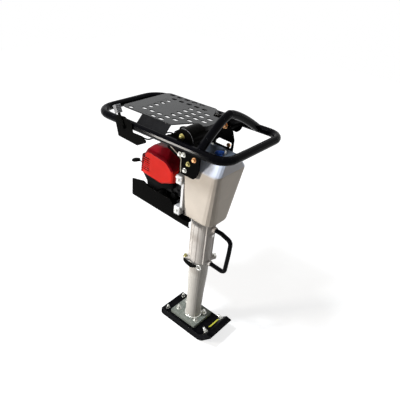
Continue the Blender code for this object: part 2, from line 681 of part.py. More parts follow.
def gear_case(carrier):
    """Tapered casting that holds the gears: a shell, open to the guide below and to the clutch behind."""
    low, shoulder, top = GUIDE_TOP_Z + GAP, CASE_SHOULDER_Z, CASE_TOP_Z
    levels = [(low + CASE_FOOT_FILLET * (1 - math.cos(a)), CASE_FOOT_FILLET * (1 - math.sin(a)))
              for a in (math.radians(30 * k) for k in range(4))]
    levels += [(shoulder - 0.003, 0.0), (shoulder + 0.003, 0.0)]
    levels += [(top - CASE_TOP_FILLET * (1 - math.sin(a)), CASE_TOP_FILLET * (1 - math.cos(a)))
               for a in (math.radians(45 * k) for k in range(3))]
    case = lofted("gear_case", [case_section(z, inset) for z, inset in levels], "silver_paint", carrier)
    floor = GUIDE_TOP_Z + CASE_WALL + 0.001
    levels = ((floor, CASE_FOOT_FILLET), (floor + CASE_FOOT_FILLET, 0.0), (shoulder, 0.0),
              (top - CASE_WALL, 0.002))
    cut(case, lofted("case_inside", [case_section(z, inset, CASE_WALL) for z, inset in levels], None,
                     carrier))
    cut(case, rod("case_throat", GUIDE_BORE_R, GUIDE_TOP_Z - 0.01, GUIDE_TOP_Z + 0.02, "z", (0, 0), None,
                  carrier, 28))
    seats = (("crank", GEAR_Z, CRANK_SHAFT_R), ("pinion", ENGINE_Z, CRANK_SHAFT_R))
    for name, z, shaft in seats:
        cut(case, rod(f"{name}_seat", BEARING_R + GAP, CASE_BACK_X - 0.01,
                      CASE_BACK_X + CASE_BACK_WALL + 0.01, "x",
                      (0, z), None, carrier, 20))
        ring(f"{name}_bearing", BEARING_R, shaft + RUN, CASE_BACK_X + 0.001,
             CASE_BACK_X + CASE_BACK_WALL - 0.001, "x",
             (0, z), "steel", carrier, 20)
    plug_x, plug_y = 0.038, -0.002
    cut(case, rod("filler_hole", 0.0085, CASE_TOP_Z - 0.02, CASE_TOP_Z + 0.01, "z", (plug_x, plug_y), None,
                  carrier, 16))
    top = CASE_TOP_Z + GAP
    profile = ((0, CASE_TOP_Z - 0.012), (0.0082, CASE_TOP_Z - 0.012), (0.0082, top), (0.0125, top),
               (0.0125, top + 0.004),
               (0.0105, top + 0.005), (0.0105, top + 0.012), (0.0085, top + 0.0135), (0, top + 0.0135))
    turned("oil_filler_plug", profile, "z", (plug_x, plug_y), "blue_plug", carrier, 16)


def bell_housing(carrier):
    """Aluminium housing of the clutch, a flange with four lugs between the engine and the gear case."""
    side = BELL_LUG_Y + 0.004
    corners = [(y, z) for y, z in ((-side, BELL_LUG_LOW_Z), (side, BELL_LUG_LOW_Z), (side, BELL_LUG_HIGH_Z),
                                   (-side, BELL_LUG_HIGH_Z))]
    flange = rounded(corners, 0.012, 3)
    bell = prism("clutch_housing", flange, "x", -0.0755, CASE_BACK_X - GAP, "cast_aluminium", carrier)
    fuse(bell, rod("bell_drum", 0.062, BELL_BACK_X, -0.070, "x", (0, ENGINE_Z), None, carrier, 28))
    for y in (-BELL_LUG_Y, BELL_LUG_Y):
        for z in (BELL_LUG_LOW_Z, BELL_LUG_HIGH_Z):
            profile = ((0, BELL_BACK_X + 0.002), (BELL_LUG_R - 0.002, BELL_BACK_X + 0.002),
                       (BELL_LUG_R, BELL_BACK_X + 0.004), (BELL_LUG_R, CASE_BACK_X - 0.0035),
                       (0, CASE_BACK_X - 0.0035))
            fuse(bell, turned("bell_lug", profile, "x", (y, z), None, carrier, 12))
    cut(bell, rod("bell_bore", 0.0450, BELL_BACK_X - 0.01, CASE_BACK_X + 0.01, "x", (0, ENGINE_Z), None,
                  carrier, 28))


def guide_outline():
    """Outline of the guide: a circle with four ribs that run down it and two narrow grooves."""
    rib, groove = GUIDE_R + GUIDE_RIB, GUIDE_R - GUIDE_GROOVE
    marks = []
    for middle in (GUIDE_RIB_ANGLE, 180 - GUIDE_RIB_ANGLE, 180 + GUIDE_RIB_ANGLE, 360 - GUIDE_RIB_ANGLE):
        marks += [(middle - 7, GUIDE_R), (middle - 4, rib), (middle, rib + 0.0005), (middle + 4, rib),
                  (middle + 7, GUIDE_R)]
    for middle in (360 - GUIDE_GROOVE_ANGLE, 180 + GUIDE_GROOVE_ANGLE):
        marks += [(middle - 1.7, GUIDE_R), (middle - 1.2, groove), (middle + 1.2, groove),
                  (middle + 1.7, GUIDE_R)]
    taken = [angle for angle, _ in marks]
    marks += [(9 * k, GUIDE_R) for k in range(40) if min(abs(9 * k - angle) for angle in taken) > 4 or k == 0]
    marks.sort()
    return [(radius * math.cos(math.radians(angle)), radius * math.sin(math.radians(angle)))
            for angle, radius in marks]


def guide_cylinder(carrier):
    """Ribbed cylinder in which the foot slides, with a bolted split collar at its lower end."""
    low, above_collar = GUIDE_BOTTOM_Z, GUIDE_BOTTOM_Z + COLLAR_THICKNESS
    guide = prism("guide_cylinder", guide_outline(), "z", low, GUIDE_TOP_Z - 0.012, "silver_paint", carrier)
    top = rod("guide_flange", GUIDE_R + 0.0005, GUIDE_TOP_Z - 0.016, GUIDE_TOP_Z, "z", (0, 0), None,
              carrier, 32)
    ears = (("near", Vector((0.0096 - GUIDE_R, -GUIDE_R - 0.0034))),
            ("far", Vector((GUIDE_R, GUIDE_R)) - Vector((0.0036, 0.0036))))
    round_ears = []
    for _, ear in ears:
        middle = math.degrees(math.atan2(ear.y, ear.x))
        round_ears.append([tuple(ear + Vector(p))
                           for p in arc((0, 0), 0.0115, middle - 90, middle + 90, 5)])
    side = (ears[0][1] - ears[1][1]).normalized().orthogonal() * (GUIDE_R - 0.006)
    collar_outline = round_ears[0] + [tuple(side)] + round_ears[1] + [tuple(-side)]
    collar = prism("guide_collar", collar_outline, "z", low, above_collar, None, carrier)
    boss = rod("front_boss", 0.0145, 0.045, GUIDE_R + 0.007, "x", (0, HANDLE_BOSS_Z), None, carrier, 16)
    seat = rod("sight_boss", 0.0115, 0.045, GUIDE_R + 0.003, "x", (0, SIGHT_PLUG_Z), None, carrier, 16)
    fuse(guide, top, collar, boss, seat)
    cut(guide, rod("guide_bore", GUIDE_BORE_R, low - 0.01, GUIDE_TOP_Z + 0.01, "z", (0, 0), None, carrier,
                   32))
    for name, ear in ears:
        profile = ((0, low + 0.004), (0.0085, low + 0.004), (0.0085, above_collar + 0.002),
                   (0.0068, above_collar + 0.002), (0.0068, above_collar + 0.008),
                   (0, above_collar + 0.008))
        fuse(guide, turned(f"collar_bolt_{name}", profile, "z", tuple(ear), None, carrier, 10))
    rod("oil_sight_plug", 0.0085, GUIDE_R + 0.003 + GAP, GUIDE_R + 0.009, "x", (0, SIGHT_PLUG_Z), "steel",
        carrier, 6)


def side_plates(carrier):
    """Sheet plates bolted to the gear case, whose round heads carry the handle's rubber mounts."""
    inner, outer = PLATE_Y, PLATE_Y + PLATE_THICKNESS
    head = arc((MOUNT_X, MOUNT_Z), PLATE_HEAD_R, -20, 150, 12)
    lower = [head[-1], (-0.146, 0.998), (-0.154, 0.966), (-0.077, 0.942), (-0.077, 0.880), (0.008, 0.880),
             (0.026, 0.925), (0.026, 1.000), head[0]]
    radii = (0, 0.010, 0.010, 0.004, 0.012, 0.022, 0.030, 0.020, 0)
    outline = head[1:-1] + rounded(lower, radii, 4, closed=False)
    for name, side in (("near", -1), ("far", 1)):
        low, high = sorted((side * inner, side * outer))
        plate = prism(f"side_plate_{name}", outline, "y", low, high, "black_paint", carrier)
        if side > 0:
            window = rounded(((-0.066, 0.979), (0.006, 0.979), (0.006, 1.012), (-0.040, 1.012)), 0.005, 3)
            cut(plate, prism("plate_window", window, "y", low - 0.01, high + 0.01, None, carrier))
        ends = sorted((side * (outer + GAP), side * (outer + MOUNT_LENGTH - GAP)))
        rod(f"rubber_mount_{name}", BUFFER_R, *ends, "y", (MOUNT_X, MOUNT_Z), "black_rubber", carrier, 20)
        ends = sorted((side * (inner - 0.012), side * (inner + 0.002)))
        head_of_bolt = rod(f"mount_bolt_{name}", 0.012, *ends, "y", (MOUNT_X, MOUNT_Z), None, carrier, 6)
        low, high = sorted((side * (CASE_HALF_WIDTH - 0.006), side * (inner + 0.002)))
        pad = rounded(((-0.062, 0.893), (0.012, 0.893), (0.012, 0.921), (-0.062, 0.921)), 0.008, 3)
        spacer = prism(f"plate_spacer_{name}", pad, "y", low, high, None, carrier)
        fuse(plate, head_of_bolt, spacer)
        room = [[(x * 1.005, y * 1.005, z) for x, y, z in case_section(z)] for z in (0.70, CASE_SHOULDER_Z)]
        cut(plate, lofted(f"case_clear_{name}", room, None, carrier))


def cowl_ring(y, inset=0.0, rise=0.0):
    """Side outline of the red cover at one width: drawn in by the inset, its top edge raised by the rise."""
    back, front = ENGINE_BACK_X + inset, ENGINE_FRONT_X - inset
    points = ((back, 0.772 + inset), (-0.190, 0.766 + inset), (front, 0.797 + inset),
              (front - 0.001 * rise, 0.862 + 0.010 * rise - inset),
              (-0.165 - 0.017 * rise, 0.893 + 0.037 * rise - inset),
              (-0.293 + 0.005 * rise + inset, 0.903 + 0.009 * rise - inset))
    return [(x, y, z) for x, z in rounded(points, (0.012, 0.030, 0.010, 0.025, 0.030, 0.018), 2)]


def engine(carrier):
    """Small four-stroke engine: crankcase, cylinder, red cowl, carburettor, cleaner, silencer and tank."""
    centre = (0, ENGINE_Z)
    case = block("crankcase", (-0.252, -0.066, 0.722), (BELL_BACK_X - GAP, 0.062, 0.848), "cast_aluminium",
                 carrier, 0.008)
    cut(case, rod("crank_tunnel", 0.0100, -0.35, 0.0, "x", centre, None, carrier, 16))
    cut(case, rod("rotor_recess", CLUTCH_R + 0.004, -0.104, -0.05, "x", centre, None, carrier, 24))
    rear_fins, front_fins, pitch = 5, 2, 0.011
    outline = [(-0.140, 0.8483), (-0.232, 0.8483)]
    for k in range(rear_fins):
        low = 0.852 + pitch * k
        outline += [(-0.232, low), (-0.245, low), (-0.245, low + 0.004), (-0.232, low + 0.004)]
    outline += [(-0.232, 0.852 + pitch * rear_fins), (-0.140, 0.852 + pitch * front_fins)]
    for k in reversed(range(front_fins)):
        low = 0.852 + pitch * k
        outline += [(-0.140, low + 0.004), (-0.127, low + 0.004), (-0.127, low), (-0.140, low)]
    prism("engine_cylinder", outline, "y", -0.048, 0.048, "cast_aluminium", carrier)
    near, far = -ENGINE_HALF_WIDTH, 0.066
    shape = ((near, 0.010, 0.0), (near + 0.004, 0.0035, 0.0), (near + 0.014, 0.0, 0.1),
             (near + 0.046, 0.0, 1.0),
             (far - 0.020, 0.0, 1.0), (far, 0.0, 0.0))
    cowl = lofted("engine_cowl", [cowl_ring(*place) for place in shape], "red_cover", carrier, twisted=True)
    wall = 0.0035
    shape = ((near + wall, 0.010 + wall, 0.0), (near + 0.014, wall, 0.05), (near + 0.046, wall, 1.0),
             (far - 0.020, wall, 1.0), (far - wall, wall, 0.0))
    cut(cowl, lofted("cowl_inside", [cowl_ring(*place) for place in shape], None, carrier, twisted=True))
    foot = ((ENGINE_BACK_X + 0.006, near + 0.0135), (ENGINE_FRONT_X - 0.006, near + 0.0135),
            (ENGINE_FRONT_X - 0.006, far - wall), (ENGINE_BACK_X + 0.006, far - wall))
    cut(cowl, prism("cowl_foot", foot, "z", 0.700, 0.815, None, carrier))
    cut(cowl, block("cowl_front_mouth", (-0.16, -0.0665, 0.70), (-0.09, 0.0700, 0.8485), None, carrier))
    cut(cowl, block("silencer_window", (-0.192, 0.058, 0.850), (-0.148, 0.080, 0.868), None, carrier))
    cut(cowl, rod("starter_window", 0.054, -0.33, -0.28, "x", centre, None, carrier, 24))
    for k in range(7):
        low = 0.797 + 0.0100 * k
        slot = rounded(((-0.340, low), (-0.262, low), (-0.262, low + 0.0045), (-0.340, low + 0.0045)),
                       0.002, 2)
        cut(cowl, prism(f"louvre_{k}", slot, "y", near - 0.01, near + 0.0125, None, carrier))
    rear = turned("recoil_housing",
                  ((0, -0.350), (0.040, -0.350), (0.050, -0.345), (0.062, -0.333), (0.064, -0.326),
                                     (0.064, -0.285), (0, -0.285)), "x", centre, "black_plastic", carrier,
                                     22)
    behind = ENGINE_BACK_X - GAP
    envelope = ((behind, 0.600), (-0.10, 0.600), (-0.10, 1.0), (behind + 0.047, 1.0), (behind, 0.772))
    cut(rear, prism("cowl_envelope", envelope, "y", -0.11, 0.11, None, carrier))
    cut(rear, turned("recoil_inside",
                     ((0, -0.346), (0.038, -0.346), (0.048, -0.342), (0.058, -0.330), (0.058, -0.27),
                                       (0, -0.27)), "x", centre, None, carrier, 24))
    fuse(rear, turned("pulley_spindle",
                      ((0, -0.348), (0.0095, -0.348), (0.0095, -0.3303), (SPINDLE_R, -0.3303),
                                         (SPINDLE_R, -0.3120), (0, -0.3120)), "x", centre, None, carrier,
                                         14))
    for k in range(6):
        angle = 60 * k + 30
        slot = arc(centre, 0.036, angle - 18, angle + 18, 2) + arc(centre, 0.030, angle + 18, angle - 18, 2)
        cut(rear, prism(f"recoil_slot_{k}", slot, "x", -0.36, -0.342, None, carrier))
    cut(rear, rod("rope_eye", 0.0028, -0.36, -0.30, "x", (STARTER_Y, 0.789), None, carrier, 12))
    silencer(carrier)
    intake(carrier)
    fuel_tank(carrier)


def silencer(carrier):
    """Silencer on the far side of the cylinder, with its outlet facing away from the engine."""
    box = block("silencer", (-0.212, 0.0703, 0.800), (-0.128, 0.118, 0.868), "steel", carrier, 0.010)
    outlet = rod("silencer_outlet", 0.009, 0.112, 0.128, "y", (-0.148, 0.822), None, carrier, 12)
    flange = block("silencer_flange", (-0.190, 0.0485, 0.8525), (-0.150, 0.075, 0.8655), None, carrier)
    fuse(box, outlet)
    cut(box, rod("outlet_bore", 0.0065, 0.110, 0.14, "y", (-0.148, 0.822), None, carrier, 10))
    fuse(box, flange)


def intake(carrier):
    """Carburettor and round air cleaner behind the silencer."""
    block("carburettor", (-0.262, 0.0663, 0.795), (-0.225, 0.090, 0.830), "cast_aluminium", carrier, 0.004)
    profile = ((0, 0.0905), (0.034, 0.0905), (0.038, 0.094), (0.038, 0.124), (0.034, 0.129), (0, 0.131))
    turned("air_cleaner", profile, "y", (-0.262, 0.815), "black_plastic", carrier, 22)


def fuel_tank(carrier):
    """Moulded tank above the silencer, with a filler neck closed by a ribbed cap."""
    corners = ((-0.300, 0.0763), (-0.130, 0.0763), (-0.130, 0.146), (-0.300, 0.146))
    rings = [[(x, y, z) for x, y in rounded(corners, 0.016, 3)] for z in (0.882, 0.935)]
    tank = lofted("fuel_tank", rings, "black_plastic", carrier)
    soften(tank, 0.008, 2)
    neck = (-0.262, 0.110)
    foot = block("tank_foot", (-0.215, 0.0663, 0.869), (-0.160, 0.092, 0.889), None, carrier)
    fuse(tank, rod("tank_neck", 0.016, 0.930, 0.942, "z", neck, None, carrier, 16), foot)
    profile = ((0, 0.9423), (0.020, 0.9423), (0.0205, 0.944), (0.0205, 0.953), (0.018, 0.956), (0, 0.957))
    turned("fuel_cap", profile, "z", neck, "black_plastic", carrier, 16)


def engine_guard(carrier):
    """Bent sheet under the engine: a floor and two walls that narrow towards the guide."""
    half, thick = ENGINE_HALF_WIDTH - 0.0025, 0.005
    low = 0.6205
    path = rounded(((-half, 0.80), (-half, low), (half, low), (half, 0.80)), (0, 0.012, 0.012, 0), 4,
                   closed=False)
    guard = sheet("engine_guard", path, thick, "x", -0.375, -0.010, "black_paint", carrier)
    above = ((-0.40, 0.714), (-0.375, 0.714), (-0.299, 0.733), (-0.262, 0.7185), (-0.126, 0.7185),
             (-0.106, 0.690),
             (-0.099, 0.664), (-0.058, 0.652), (0.02, 0.652), (0.02, 0.85), (-0.40, 0.85))
    cut(guard, prism("guard_top_edge", above, "y", -0.2, 0.2, None, carrier))
    reach = GUIDE_R + GUIDE_RIB + 0.002
    throat = rod("guard_throat", reach, 0.55, 0.70, "z", (0, 0), None, carrier, 40)
    notch = block("guard_notch", (-0.040, -0.088, 0.55), (0.05, 0.088, 0.70), None, carrier)
    cut(guard, throat, notch)
    for name, x in (("front", -0.125), ("rear", -0.225)):
        profile = ((0, 0.6233), (0.014, 0.6233), (0.016, 0.640), (0.016, 0.705), (0.014, 0.7217),
                   (0, 0.7217))
        turned(f"engine_mount_{name}", profile, "z", (x, 0.0), "black_rubber", carrier, 16)


def carry_handle(carrier):
    """Bent round bar on the front of the guide, for carrying the machine with a second person."""
    radius = 0.0105
    corners = ((GUIDE_R + 0.007 + GAP, HANDLE_BOSS_Z), (0.105, HANDLE_BOSS_Z), (0.160, 0.592),
               (0.159, 0.530), (0.151, 0.406),
               (GUIDE_R - 0.004, 0.408))
    path = [(x, 0.0, z) for x, z in rounded(corners, (0, 0.03, 0.022, 0.06, 0.020, 0), 4, closed=False)]
    bar = pipe("carry_handle", path, radius, "black_paint", carrier, 10)
    cut(bar, rod("guide_clear", GUIDE_R + GAP + 0.0003, 0.38, 0.50, "z", (0, 0), None, carrier, 32))


def keeper(carrier):
    """Rubber strap that hangs from the collar's near ear, with a steel ring on its end."""
    start, low = 0.0096 - GUIDE_R, GUIDE_BOTTOM_Z
    middle = -GUIDE_R - 0.0064
    path = smooth_path(((start, low - 0.0024), (-0.031, low - 0.011), (-0.008, low - 0.024),
                        (0.015, low - 0.017),
                        (0.030, low - 0.005)), 4)
    sheet("keeper_strap", path, 0.004, "y", middle - 0.005, middle + 0.005, "black_rubber", carrier)
    sides, turns = 6, 16
    bm = bmesh.new()
    rings = []
    for k in range(turns):
        angle = 2 * math.pi * k / turns
        way = Vector((math.cos(angle), 0.0, math.sin(angle)))
        centre = Vector((0.0445, middle, low - 0.0005)) + way * 0.0120
        turn = [2 * math.pi * n / sides for n in range(sides)]
        rings.append([centre + 0.0025 * (way * math.cos(a) + Vector((0, 1,
                                                                     0)) * math.sin(a)) for a in turn])
    add_rings(bm, rings, closed=True)
    mesh_object("keeper_ring", bm, "steel", carrier)


def rail_clearances(carrier):
    """Guides a little larger than the two side rails, for what is welded or bolted to them."""
    reach, radius = LOOP_LENGTH / 2, LOOP_TUBE_R + GAP
    rails = [rod(f"rail_clear_{name}", radius, -reach, reach, "x", (side * LOOP_WIDTH / 2, 0), None,
                 carrier, 40)
             for name, side in (("near", -1), ("far", 1))]
    return rails


def handle_brackets(carrier, rails):
    """Round-headed brackets on the rails, each with a curved cover over its rubber mount."""
    inner = PLATE_Y + PLATE_THICKNESS + MOUNT_LENGTH
    centre = (MOUNT_X, MOUNT_Z)
    outline = arc(centre, BRACKET_R, -62, 158, 18) + [(-0.118, 1.044), (-0.118, 1.031)]
    radius = BRACKET_R - COVER_THICKNESS / 2
    for name, side in (("near", -1), ("far", 1)):
        low, high = sorted((side * inner, side * (inner + BRACKET_THICKNESS)))
        bracket = prism(f"handle_bracket_{name}", outline, "y", low, high, "black_paint", carrier)
        low, high = sorted((side * COVER_INNER_Y, side * (inner + BRACKET_THICKNESS / 2)))
        cover = sheet(f"cover_{name}", arc(centre, radius, 2, 150, 16), COVER_THICKNESS, "y", low, high,
                      None, carrier)
        low, high = sorted((side * (inner + BRACKET_THICKNESS / 2), side * (LOOP_WIDTH / 2 - 0.004)))
        foot = block(f"rail_foot_{name}", (-0.105, low, 1.044), (0.000, high, 1.054), None, carrier)
        fuse(bracket, cover, foot)
        cut(bracket, *rails)


def hoop(carrier, rails):
    """Guard hoop over the front of the handle: it rises from both rails to a rounded peak."""
    path = []
    steps = 20
    for k in range(steps + 1):
        across = 2 * k / steps - 1
        rise = 1 - abs(across) ** 1.36
        path.append((HOOP_X - HOOP_LEAN * rise, across * LOOP_WIDTH / 2, HOOP_HEIGHT * rise))
    cut(pipe("handle_hoop", path, LOOP_TUBE_R, "black_paint", carrier, 14), *rails)


def platform(carrier, rails):
    """Perforated sheet over the rails, with skirts folded down to them and a lip on its front tongue."""
    half, front, back = PLATFORM_HALF_WIDTH, PLATFORM_FRONT_X, PLATFORM_REAR_X
    tongue = COVER_INNER_Y - 0.010
    near = [(back, -half), (0.050, -half), (0.096, -tongue + 0.004), (front, -tongue)]
    radii = (0.022, 0.016, 0.014, 0.022)
    far = [(x, -y) for x, y in reversed(near)]
    top, low = PLATFORM_Z, PLATFORM_Z - PLATFORM_THICKNESS
    plate = prism("platform", rounded(near + far, radii + radii[::-1], 4), "z", low, top, "black_paint",
                  carrier)
    fold = PLATFORM_THICKNESS / 2
    lip = rounded(((0.104, 0.006 - tongue), (front - fold, fold - tongue), (front - fold, tongue - fold),
                   (0.104, tongue - 0.006)), (0, 0.020, 0.020, 0), 4, closed=False)
    fuse(plate, sheet("platform_lip", lip, PLATFORM_THICKNESS, "z", top - 0.018, top - 0.001, None,
                      carrier))
    for name, side in (("near", -1), ("far", 1)):
        path = [(side * (half - 0.003), top - fold), (side * (LOOP_WIDTH / 2 - 0.012), 0.004)]
        fuse(plate, sheet(f"skirt_{name}", path, PLATFORM_THICKNESS - 0.0002, "x", -0.112, 0.050, None,
                          carrier))
    cut(plate, *rails)
    bm = bmesh.new()
    reach, width = SLOT_LENGTH / 2, SLOT_WIDTH / 2
    for column, rows in enumerate(SLOT_ROWS):
        x = SLOT_FIRST_X + column * SLOT_PITCH_X
        for row in rows:
            y = (row - 3.5) * SLOT_PITCH_Y
            corners = ((x - reach, y - width), (x + reach, y - width), (x + reach, y + width),
                       (x - reach, y + width))
            add_prism(bm, rounded(corners, width * 0.8, 1), "z", low - 0.003, top + 0.003)
    cut(plate, mesh_object("platform_slots", bm, None, carrier))


def lever_guard(carrier):
    """Sheet guard on the outside of the near rail, which carries the throttle lever."""
    inner = -(LOOP_WIDTH / 2 + LOOP_TUBE_R + GAP)
    outline = ((-0.202, 0.019), (-0.199, -0.007), (-0.186, -0.060), (-0.069, -0.066), (-0.010, -0.034),
               (-0.053, -0.018), (-0.098, -0.020), (-0.099, 0.014), (-0.143, 0.034), (-0.185, 0.030))
    guard = prism("lever_guard", rounded(outline, 0.006, 2), "y", inner - 0.004, inner, "black_paint",
                  carrier)
    pivot = (LEVER_PIVOT_X, LEVER_PIVOT_Z)
    cut(guard, rod("lever_hole", 0.0044, -0.3, -0.1, "y", pivot, None, carrier, 16))


def throttle_lever(carrier):
    """Throttle lever with a ribbed grip."""
    outside = -(LOOP_WIDTH / 2 + LOOP_TUBE_R + GAP) - 0.004 - GAP
    way = Vector((math.sin(LEVER_LEAN), math.cos(LEVER_LEAN)))
    side = Vector((way.y, -way.x))
    pivot = Vector((LEVER_PIVOT_X, LEVER_PIVOT_Z))

    def place(across, length):
        return pivot + side * across + way * length

    arm = [place(0.010 * math.cos(a),
                 0.010 * math.sin(a)) for a in [math.radians(180 + 22.5 * k) for k in range(9)]]
    arm += [place(0.007, 0.050), place(0.007, 0.062), place(-0.007, 0.062), place(-0.007, 0.050)]
    lever = prism("throttle_lever", arm, "y", outside - 0.004, outside, "steel", carrier)
    fuse(lever, rod("lever_pin", 0.0040, outside - 0.002, outside + 0.0046, "y", pivot, None, carrier, 16),
         rod("lever_boss", 0.0075, outside - 0.008, outside - 0.002, "y", pivot, None, carrier, 16))
    ribs, start = 5, 0.0575
    pitch = (LEVER_LENGTH + 0.004 - start) / ribs
    left, right = [], []
    for k in range(ribs):
        low = start + pitch * k
        for length, across in ((low, 0.0085), (low + pitch * 0.25, 0.0105), (low + pitch * 0.75, 0.0105)):
            left.append(place(-across, length))
            right.append(place(across, length))
    left.append(place(-0.0085, start + pitch * ribs))
    right.append(place(0.0085, start + pitch * ribs))
    grip = prism("throttle_grip", right + left[::-1], "y", outside - 0.014, outside + 0.010, "grey_rubber",
                 carrier)
    socket = [place(0.0074, 0.04), place(0.0074, 0.0624), place(-0.0074, 0.0624), place(-0.0074, 0.04)]
    cut(grip, prism("grip_socket", socket, "y", outside - 0.0043, outside + GAP, None, carrier))


def starter(grip_carrier, pulley_carrier):
    """Recoil starter: a rope pulley behind the fan, and a grip on the rope outside its housing."""
    centre = (0, ENGINE_Z)
    bore = SPINDLE_R + RUN
    profile = ((bore, -0.3300), (STARTER_PULLEY_R - 0.003, -0.3300), (STARTER_PULLEY_R + 0.004, -0.3285),
               (STARTER_PULLEY_R, -0.3250), (STARTER_PULLEY_R, -0.3180),
               (STARTER_PULLEY_R + 0.004, -0.3145),
               (STARTER_PULLEY_R - 0.003, -0.3130), (bore, -0.3130))
    turned("starter_pulley", profile, "x", centre, "black_plastic", pulley_carrier, 16)
    y, z = STARTER_Y, 0.789
    rod("starter_rope", 0.0022, -0.3800, -0.3440, "x", (y, z), "black_rubber", grip_carrier, 10)
    rings = []
    for x, drop, width, height in ((-0.3803, 0.0, 0.004, 0.004), (-0.388, 0.001, 0.0065, 0.006),
                                   (-0.398, 0.005, 0.011, 0.0065), (-0.410, 0.010, 0.014, 0.007),
                                   (-0.421, 0.014, 0.013, 0.0068), (GRIP_X, 0.016, 0.008, 0.004)):
        turn = [2 * math.pi * k / 14 for k in range(14)]
        rings.append([(x, y + width * math.cos(a), z - drop + height * math.sin(a)) for a in turn])
    lofted("starter_grip", rings, "black_rubber", grip_carrier)


def throttle_cable(carrier):
    """Bowden cable from the carburettor, behind the engine and up to the lever's guard."""
    start = (-0.2440, 0.0785, 0.8305)
    route = (start, (-0.2440, 0.0760, 0.8480), (-0.2500, 0.0713, 0.8800), (-0.2560, 0.0680, 0.9200),
             (-0.2550, 0.0100, 0.9620),
             (-0.2450, -0.0800, 0.9700), (-0.2300, -0.1400, 0.9800), (-0.2180, -0.1800, 1.0020),
             (-0.2140, -0.1960, 1.0150))
    cable("throttle_cable", smooth_path(route, 3), 0.0030, "black_rubber", carrier, resolution=1)


def build():
    clear_scene()
    world = axes("part_axes", (0, 0, 0))
    leg = axes("leg_axes", (LEG_FOOT_X, 0, LEG_FOOT_Z), LEG_LEAN, world)
    handle = axes("handle_axes", (HANDLE_X, 0, HANDLE_Z), HANDLE_SLOPE, world)

    ground = axes("shoe_axes", (LEG_FOOT_X, 0, 0), 0.0, world)
    ram = axes("ram_axes", (0, 0, 0), 0.0, leg)
    shoe(ground)
    foot_casting(ground, ram)

    piston_train(axes("piston_axes", (0, 0, PISTON_Z), 0.0, leg))
    connecting_rod(axes("rod_axes", (0, 0, CRANK_PIN_Z), 0.0, leg))
    crank_gear(axes("crank_axes", (0, 0, GEAR_Z), 0.0, leg))
    clutch_drum(axes("drum_axes", (0, 0, ENGINE_Z), 0.0, leg))
    engine_shaft(axes("engine_axes", (0, 0, ENGINE_Z), 0.0, leg))

    housing = axes("housing_axes", (0, 0, 0), 0.0, leg)
    gear_case(housing)
    bell_housing(housing)
    guide_cylinder(housing)
    side_plates(housing)
    engine(housing)
    engine_guard(housing)
    carry_handle(housing)
    keeper(housing)
    throttle_cable(housing)

    grip_axes = axes("grip_axes", (GRIP_X, STARTER_Y, 0.789), 0.0, leg)
    starter(grip_axes, axes("pulley_axes", (-0.32, 0, ENGINE_Z), 0.0, leg))

    mount_x, mount_z = leg_to_handle(MOUNT_X, MOUNT_Z)
    on_handle = axes("handle_mount_axes", (mount_x, 0, mount_z), 0.0, handle)
    rails = rail_clearances(on_handle)
    handle_brackets(axes("bracket_axes", (MOUNT_X, 0, MOUNT_Z), 0.0, leg), rails)
    corners = [(sx * LOOP_LENGTH / 2, sy * LOOP_WIDTH / 2) for sx,
               sy in ((-1, -1), (1, -1), (1, 1), (-1, 1))]
    radii = (LOOP_REAR_CORNER, LOOP_FRONT_CORNER, LOOP_FRONT_CORNER, LOOP_REAR_CORNER)
    loop = [(x, y, 0.0) for x, y in rounded(corners, radii, 7)]
    cable("handle_loop", loop, LOOP_TUBE_R, "black_paint", on_handle, resolution=5, cyclic=True)
    hoop(on_handle, rails)
    platform(on_handle, rails)
    lever_guard(on_handle)
    throttle_lever(axes("lever_axes", (LEVER_PIVOT_X, -0.21, LEVER_PIVOT_Z), 0.0, handle))


build()
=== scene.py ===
"""Tamping rammer: camera, light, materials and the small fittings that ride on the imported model."""
import math

import bmesh
import bpy
from mathutils import Matrix, Vector


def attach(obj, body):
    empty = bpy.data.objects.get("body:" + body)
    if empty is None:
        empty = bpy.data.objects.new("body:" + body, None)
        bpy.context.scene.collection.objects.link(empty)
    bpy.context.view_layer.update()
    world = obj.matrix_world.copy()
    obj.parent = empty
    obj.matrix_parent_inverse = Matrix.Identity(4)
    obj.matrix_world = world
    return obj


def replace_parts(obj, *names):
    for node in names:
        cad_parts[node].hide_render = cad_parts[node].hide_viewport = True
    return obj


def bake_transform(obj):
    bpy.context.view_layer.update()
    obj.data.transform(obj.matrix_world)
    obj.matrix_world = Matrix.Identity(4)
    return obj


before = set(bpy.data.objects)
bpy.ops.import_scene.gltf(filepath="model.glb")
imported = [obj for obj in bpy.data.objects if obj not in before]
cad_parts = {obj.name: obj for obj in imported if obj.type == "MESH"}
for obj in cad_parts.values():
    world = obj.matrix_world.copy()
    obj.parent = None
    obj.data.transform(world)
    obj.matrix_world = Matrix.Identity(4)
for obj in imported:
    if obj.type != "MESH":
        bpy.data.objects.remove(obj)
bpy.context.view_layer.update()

# Camera fitted to the photograph
CAMERA_PLACE = (0.9787, -1.2583, 1.7347)
CAMERA_TURN = (math.radians(58.4578), math.radians(-3.8579), math.radians(41.1406))
CAMERA_LENS = 38.12
CAMERA_SENSOR = 36.0

# Axes of the leg and of the handle, as in the CAD model. A place on the leg is (u, y, s): forwards, across
# and up the leg
LEG_FOOT = (-0.0205, 0.0, 0.030)
LEG_LEAN = math.radians(2.0)
HANDLE_PLACE = (-0.1420, 0.0, 1.0789)
HANDLE_SLOPE = math.radians(-0.57)
LEG = Matrix.Translation(LEG_FOOT) @ Matrix.Rotation(LEG_LEAN, 4, "Y")
HANDLE = Matrix.Translation(HANDLE_PLACE) @ Matrix.Rotation(HANDLE_SLOPE, 4, "Y")
GROUND = Matrix.Identity(4)

